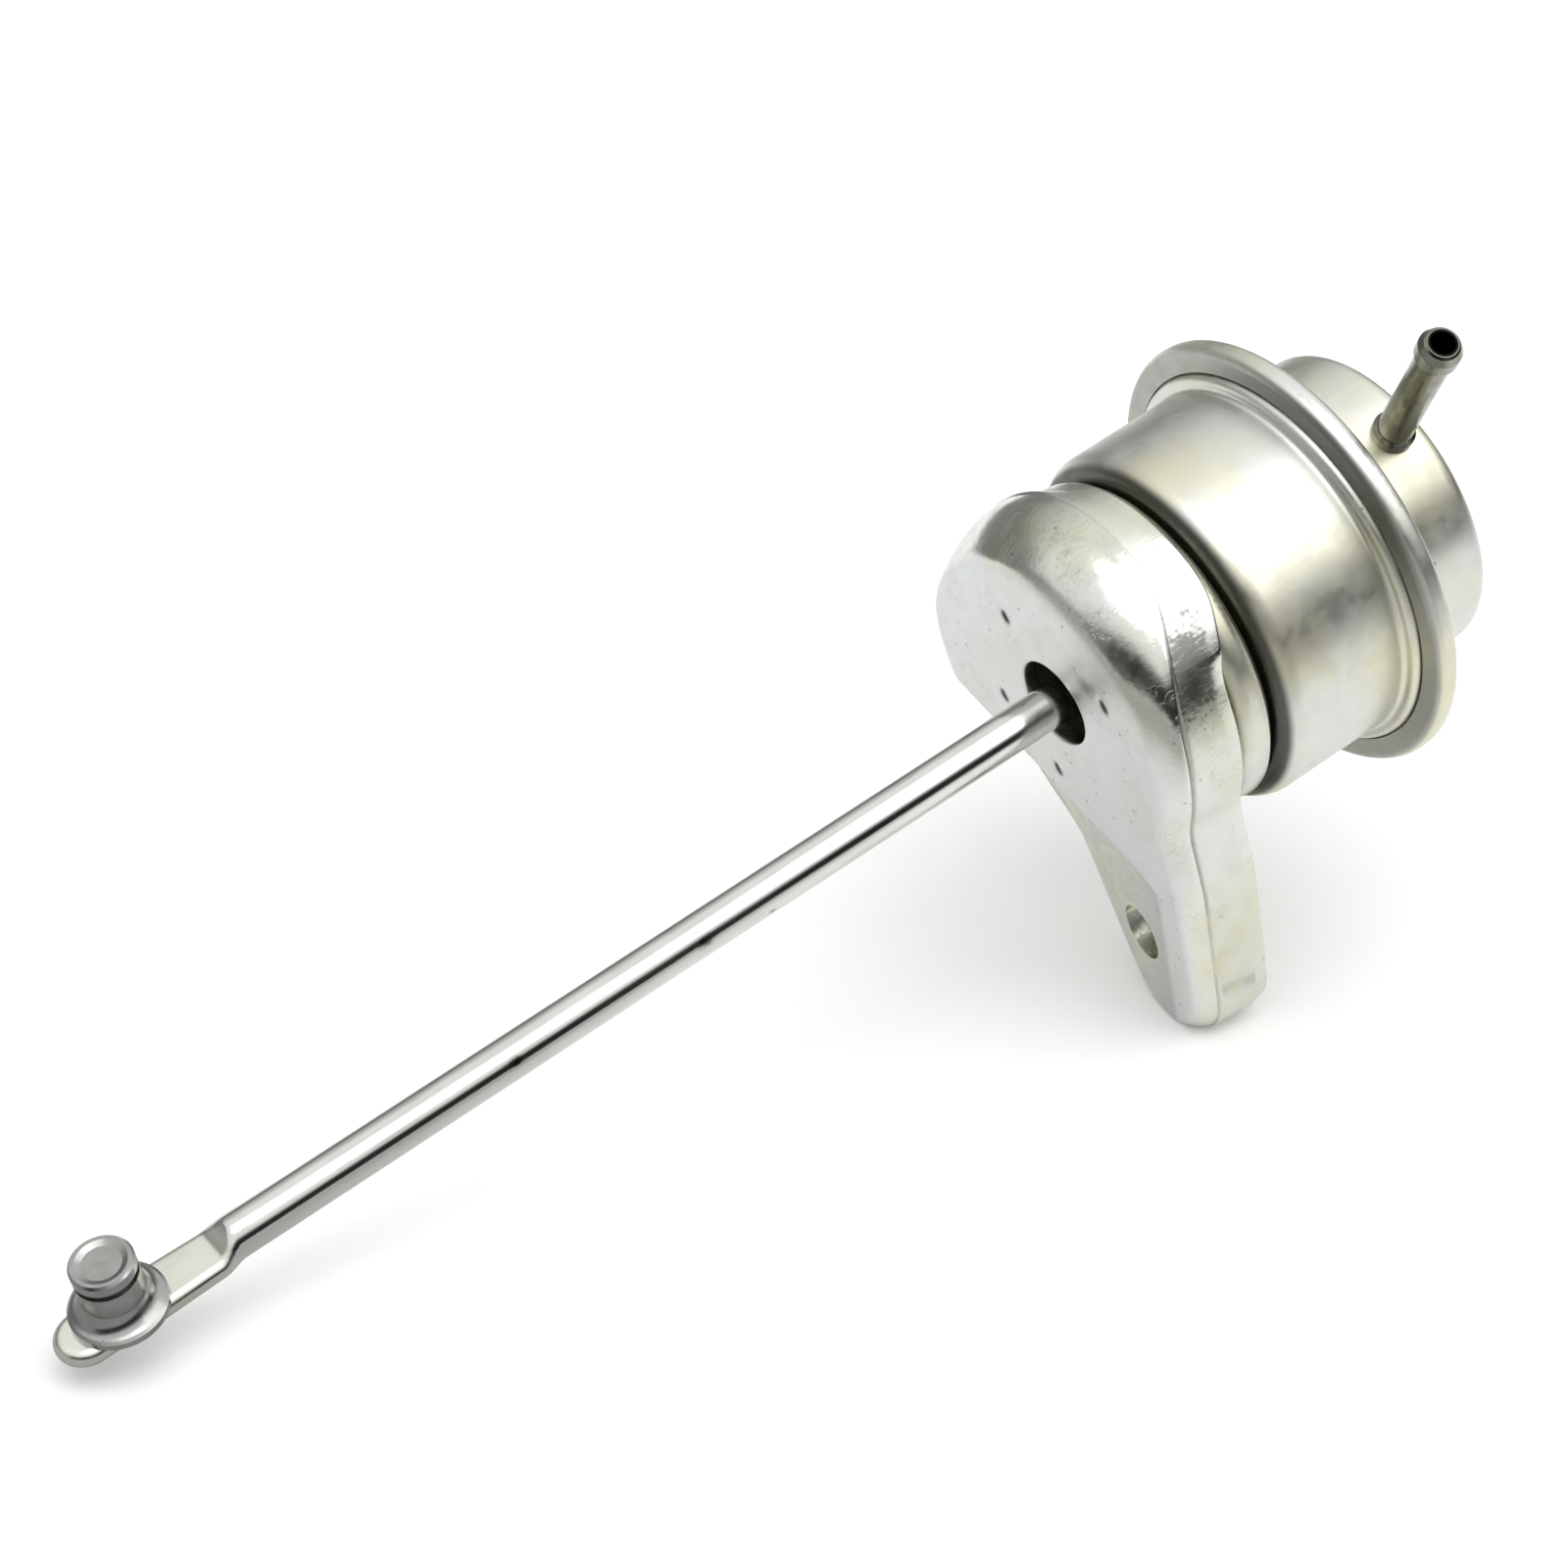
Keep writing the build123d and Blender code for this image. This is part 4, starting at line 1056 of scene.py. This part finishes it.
# %% Zinc plate on the cans: stain, lip with painted reflection, and slot with painted shade
LIP_STATION, LIP_INNER, RIM = 40.3, 29.0, 32.7
LIP_GREY, LIP_PAINTED_REFLECTION, SLOT_PAINTED_SHADE = (0.40, 0.40, 0.375), (0.12, 0.12, 0.105), (0.035, 0.035, 0.03)
LIP_REFLECTION_CENTRE, REFLECTION_FADE_START, REFLECTION_FADE_END = (40.3, -16.0, 26.5), 24.0, 6.0
SLOT_OUT, SLOT_IN = 26.5, 25.5
SLOT_FRONT, SLOT_BACK = (17.6, 18.0), (20.6, 19.6)
drawn_plate, add, place = start_finish("drawn_zinc_plate")
stain = cloud(add, place, 48.0, 0.15)
fine_stain = cloud(add, place, 300.0, 0.22)
grain_height = grained(add, place, (0.15, 1.0, 1.0), 900.0)
lines = scratched(add, place, (0.4, 1.0, 1.0), 700.0, 0.008)
dark_pits = pitted(add, place, 190.0, 0.085, 0.2)
color = covered(add, (0.66, 0.665, 0.635), stain, 0.9, (0.68, 0.67, 0.50))
color = covered(add, color, lines, 0.25, (0.35, 0.35, 0.32))
color = covered(add, color, dark_pits, 0.8, ZINC_WORN_AND_SEAM_SHADE)
offset = add("VectorMath", {0: place, 1: in_frame(0, 0, 0)}, operation="SUBTRACT").outputs[0]
across = add("VectorMath", {0: offset, 1: (0, 1, 1)}, operation="MULTIPLY").outputs[0]
off_line = add("VectorMath", {0: across}, operation="LENGTH").outputs["Value"]
behind_face = add("SeparateXYZ", {0: offset}).outputs["X"]
lip_mask = between(add, off_line, (LIP_INNER - 0.1) * MM, (LIP_INNER + 0.1) * MM)
lip_edge = between(add, off_line, (RIM - 0.2) * MM, (RIM - 0.7) * MM)
lip_front = between(add, behind_face, (LIP_STATION + 1.2) * MM, (LIP_STATION + 0.6) * MM)
lip_mask = sums(add, "MULTIPLY", sums(add, "MULTIPLY", lip_mask, lip_edge), lip_front)
color = covered(add, color, lip_mask, 0.85, LIP_GREY)
# Painted reflection: the near side of the lip is painted dark, as the bracket mirrored in it.
lip_painted_reflection = add("VectorMath", {0: place, 1: in_frame(*LIP_REFLECTION_CENTRE)}, operation="DISTANCE").outputs["Value"]
lip_painted_reflection = between(add, lip_painted_reflection, REFLECTION_FADE_START * MM, REFLECTION_FADE_END * MM)
color = covered(add, color, sums(add, "MULTIPLY", lip_painted_reflection, lip_mask), 0.7, LIP_PAINTED_REFLECTION)
# Painted shade: the slot between the bracket and the drum is painted near black.
in_slot = between(add, off_line, SLOT_OUT * MM, SLOT_IN * MM)
behind, before = (between(add, behind_face, a * MM, b * MM) for a, b in (SLOT_FRONT, SLOT_BACK))
slot_painted_shade = sums(add, "MULTIPLY", in_slot, sums(add, "MULTIPLY", behind, before))
color = covered(add, color, slot_painted_shade, 0.88, SLOT_PAINTED_SHADE)

# %% Sheen and relief of the cans
rough = rougher(add, between(add, fine_stain, 0.0, 1.0, 0.36, 0.45), lip_mask, 0.08)
height = sums(add, "ADD", sums(add, "MULTIPLY", grain_height, 0.5), sums(add, "MULTIPLY", fine_stain, 0.5))
close_finish(add, color, rough, sums(add, "SUBTRACT", height, dark_pits), 0.000015)

# %% [markdown]
# The rod is ground and polished along its length, so its grain and its hairlines are stretched
# that way. Its blade is pressed and left a little more matt. Three nicks are dark spots that
# also go into the relief.

# %% Polished rod
NICKS = [(-90.1, -2.5, 1.6, 1.3), (-60.4, -2.7, 1.3, 1.5), (-49.9, -2.9, -0.6, 0.6)]
MATT_START, MATT_END = -132.8, -133.6
polished, add, place = start_finish("polished_rod_steel")
lengthwise = grained(add, place, (0.008, 1.0, 1.0), 2600.0)
lines = scratched(add, place, (0.03, 1.0, 1.0), 1800.0, 0.02)
rod_x = add("SeparateXYZ", {0: place}).outputs["X"]
on_blade = between(add, rod_x, (FACE_X + MATT_START) * MM, (FACE_X + MATT_END) * MM)
stain = cloud(add, place, 120.0, 0.2)
nick = 0.0
for nick_x, nick_y, nick_z, nick_reach in NICKS:
    one = spotted(add, place, (nick_x, nick_y, nick_z), nick_reach, (0.8, 1.4, 1.4))
    nick = sums(add, "MAXIMUM", one, nick)
color = covered(add, (0.68, 0.68, 0.655), stain, 0.5, (0.58, 0.58, 0.54))
color = mixed(add, on_blade, color, mixed(add, stain, (0.72, 0.72, 0.655), (0.66, 0.66, 0.58)))
color = covered(add, color, lines, 0.35, (0.30, 0.30, 0.28))
color = covered(add, color, nick, 0.9, (0.07, 0.07, 0.06))
rough = rougher(add, between(add, lengthwise, 0.3, 0.7, 0.10, 0.17), on_blade, 0.10)
height = sums(add, "SUBTRACT", lengthwise, sums(add, "MULTIPLY", nick, 4.0))
close_finish(add, color, rough, height, 0.000004)

# %% [markdown]
# The pin is turned and greyer than the rod: fine rings round its own axis are its relief. The
# nipple is dark nickel, smooth, with a bore so deep that it looks black.

# %% Turned grey pin
grey_pin, add, place = start_finish("turned_grey_steel")
ring_inputs = {"Place": place, "Centre": in_frame(PIN_STATION, 0, 0), "Size": 3200.0}
rings_height = add("Group", ring_inputs, node_tree=rings).outputs["Height"]
stain = cloud(add, place, 260.0, 0.2)
color = mixed(add, stain, (0.40, 0.40, 0.39), (0.33, 0.33, 0.315))
color = covered(add, color, pitted(add, place, 900.0, 0.2, 0.2), 0.5, (0.12, 0.12, 0.11))
rough = between(add, stain, 0.0, 1.0, 0.20, 0.31)
close_finish(add, color, rough, rings_height, 0.000008)

# %% Dark nickel nipple
nickel, add, place = start_finish("dark_nickel_plate")
NIPPLE_STATION, NIPPLE_TURN = 53.45, math.radians(24.5)
BORE_OUT, BORE_IN = 2.4, 1.9
nipple_foot = in_frame(NIPPLE_STATION, 0, 0)
nipple_way = Vector((0, -math.sin(NIPPLE_TURN), math.cos(NIPPLE_TURN)))
offset = add("VectorMath", {0: place, 1: nipple_foot}, operation="SUBTRACT").outputs[0]
off_axis = add("VectorMath", {0: offset, 1: nipple_way}, operation="CROSS_PRODUCT").outputs[0]
off_axis = add("VectorMath", {0: off_axis}, operation="LENGTH").outputs["Value"]
in_bore = between(add, off_axis, BORE_OUT * MM, BORE_IN * MM)
stain = cloud(add, place, 300.0, 0.2)
lines = scratched(add, place, (1.0, 0.2, 0.2), 1500.0, 0.02)
color = mixed(add, stain, (0.30, 0.30, 0.25), (0.19, 0.19, 0.16))
color = covered(add, color, lines, 0.4, (0.5, 0.5, 0.46))
# Painted shade: the bore is painted black, for the shade deep inside it.
color = mixed(add, in_bore, color, (0.004, 0.004, 0.004))
rough = between(add, stain, 0.0, 1.0, 0.12, 0.24)
close_finish(add, color, rough, grained(add, place, (1, 1, 1), 900.0), 0.000012)

# %% [markdown]
# ## Hidden pieces
# Inside the can sit plain pressed steel, oiled wire, rubber, a moulded ring, a bronze guide and
# a felt. Nobody sees them in the picture, but they are real pieces, so each gets its own colour,
# mottling and relief.


# %% Plain finishes
METAL, NO_METAL = 1.0, 0.0


def plain_finish(name, light, dark, size, sheen, metallic, relief):
    """A finish mottled between two colours, with its roughness between two values."""
    look, add, place = start_finish(name)
    mottle = cloud(add, place, size, 0.2)
    fine = grained(add, place, (1, 1, 1), 6 * size)
    color = covered(add, mixed(add, mottle, light, dark), fine, 0.3, dark)
    close_finish(add, color, between(add, fine, 0.3, 0.7, *sheen), fine, relief, metallic)
    return look


inner_steel = plain_finish(
    "inner_pressed_steel", (0.50, 0.50, 0.48), (0.36, 0.36, 0.34), 90.0, (0.30, 0.42), METAL, 0.00002
)
# Painted shade: the wiper cap, seen through the rod hole, is painted near black for the shade behind that
# hole.
cap_in_painted_shade = plain_finish(
    "cap_steel_in_painted_shade", (0.06, 0.045, 0.03), (0.03, 0.025, 0.02), 90.0, (0.40, 0.6), METAL, 0.00003
)
rubber = plain_finish(
    "woven_back_rubber", (0.035, 0.035, 0.036), (0.018, 0.018, 0.018), 600.0, (0.55, 0.75), NO_METAL, 0.00005
)
wire = plain_finish(
    "oiled_spring_wire", (0.24, 0.24, 0.25), (0.10, 0.10, 0.11), 220.0, (0.25, 0.4), METAL, 0.00002
)
moulded = plain_finish(
    "moulded_ring_plastic", (0.10, 0.10, 0.105), (0.06, 0.06, 0.065), 500.0, (0.4, 0.55), NO_METAL, 0.00002
)
bronze = plain_finish(
    "sintered_bronze", (0.46, 0.33, 0.17), (0.28, 0.19, 0.10), 900.0, (0.35, 0.55), METAL, 0.00004
)
felt = plain_finish(
    "oiled_felt", (0.11, 0.09, 0.07), (0.05, 0.045, 0.035), 1400.0, (0.85, 0.95), NO_METAL, 0.0002
)

# %% Finishes on their pieces
finish_of = {
    "spacer_cup": drawn_plate, "lower_can": drawn_plate, "cover_can": drawn_plate,
    "hose_nipple": nickel, "rod": polished, "pivot_pin": grey_pin, "wiper_cap": cap_in_painted_shade,
    "spring_seat": moulded, "rod_bush": bronze, "wiper_felt": felt,
}
for name, thing in nodes.items():
    for slot in thing.material_slots:
        slot.material = finish_of.get(name, inner_steel)
new_pieces = [(bracket, worn_plate), (lower_can, drawn_plate), (push_rod, polished)]
new_pieces += [(spring, wire), (diaphragm, rubber)]
for piece, look in new_pieces:
    piece.data.materials.clear()
    piece.data.materials.append(look)
print("finished:", len(nodes) + len(new_pieces), "pieces with", len(bpy.data.materials), "materials")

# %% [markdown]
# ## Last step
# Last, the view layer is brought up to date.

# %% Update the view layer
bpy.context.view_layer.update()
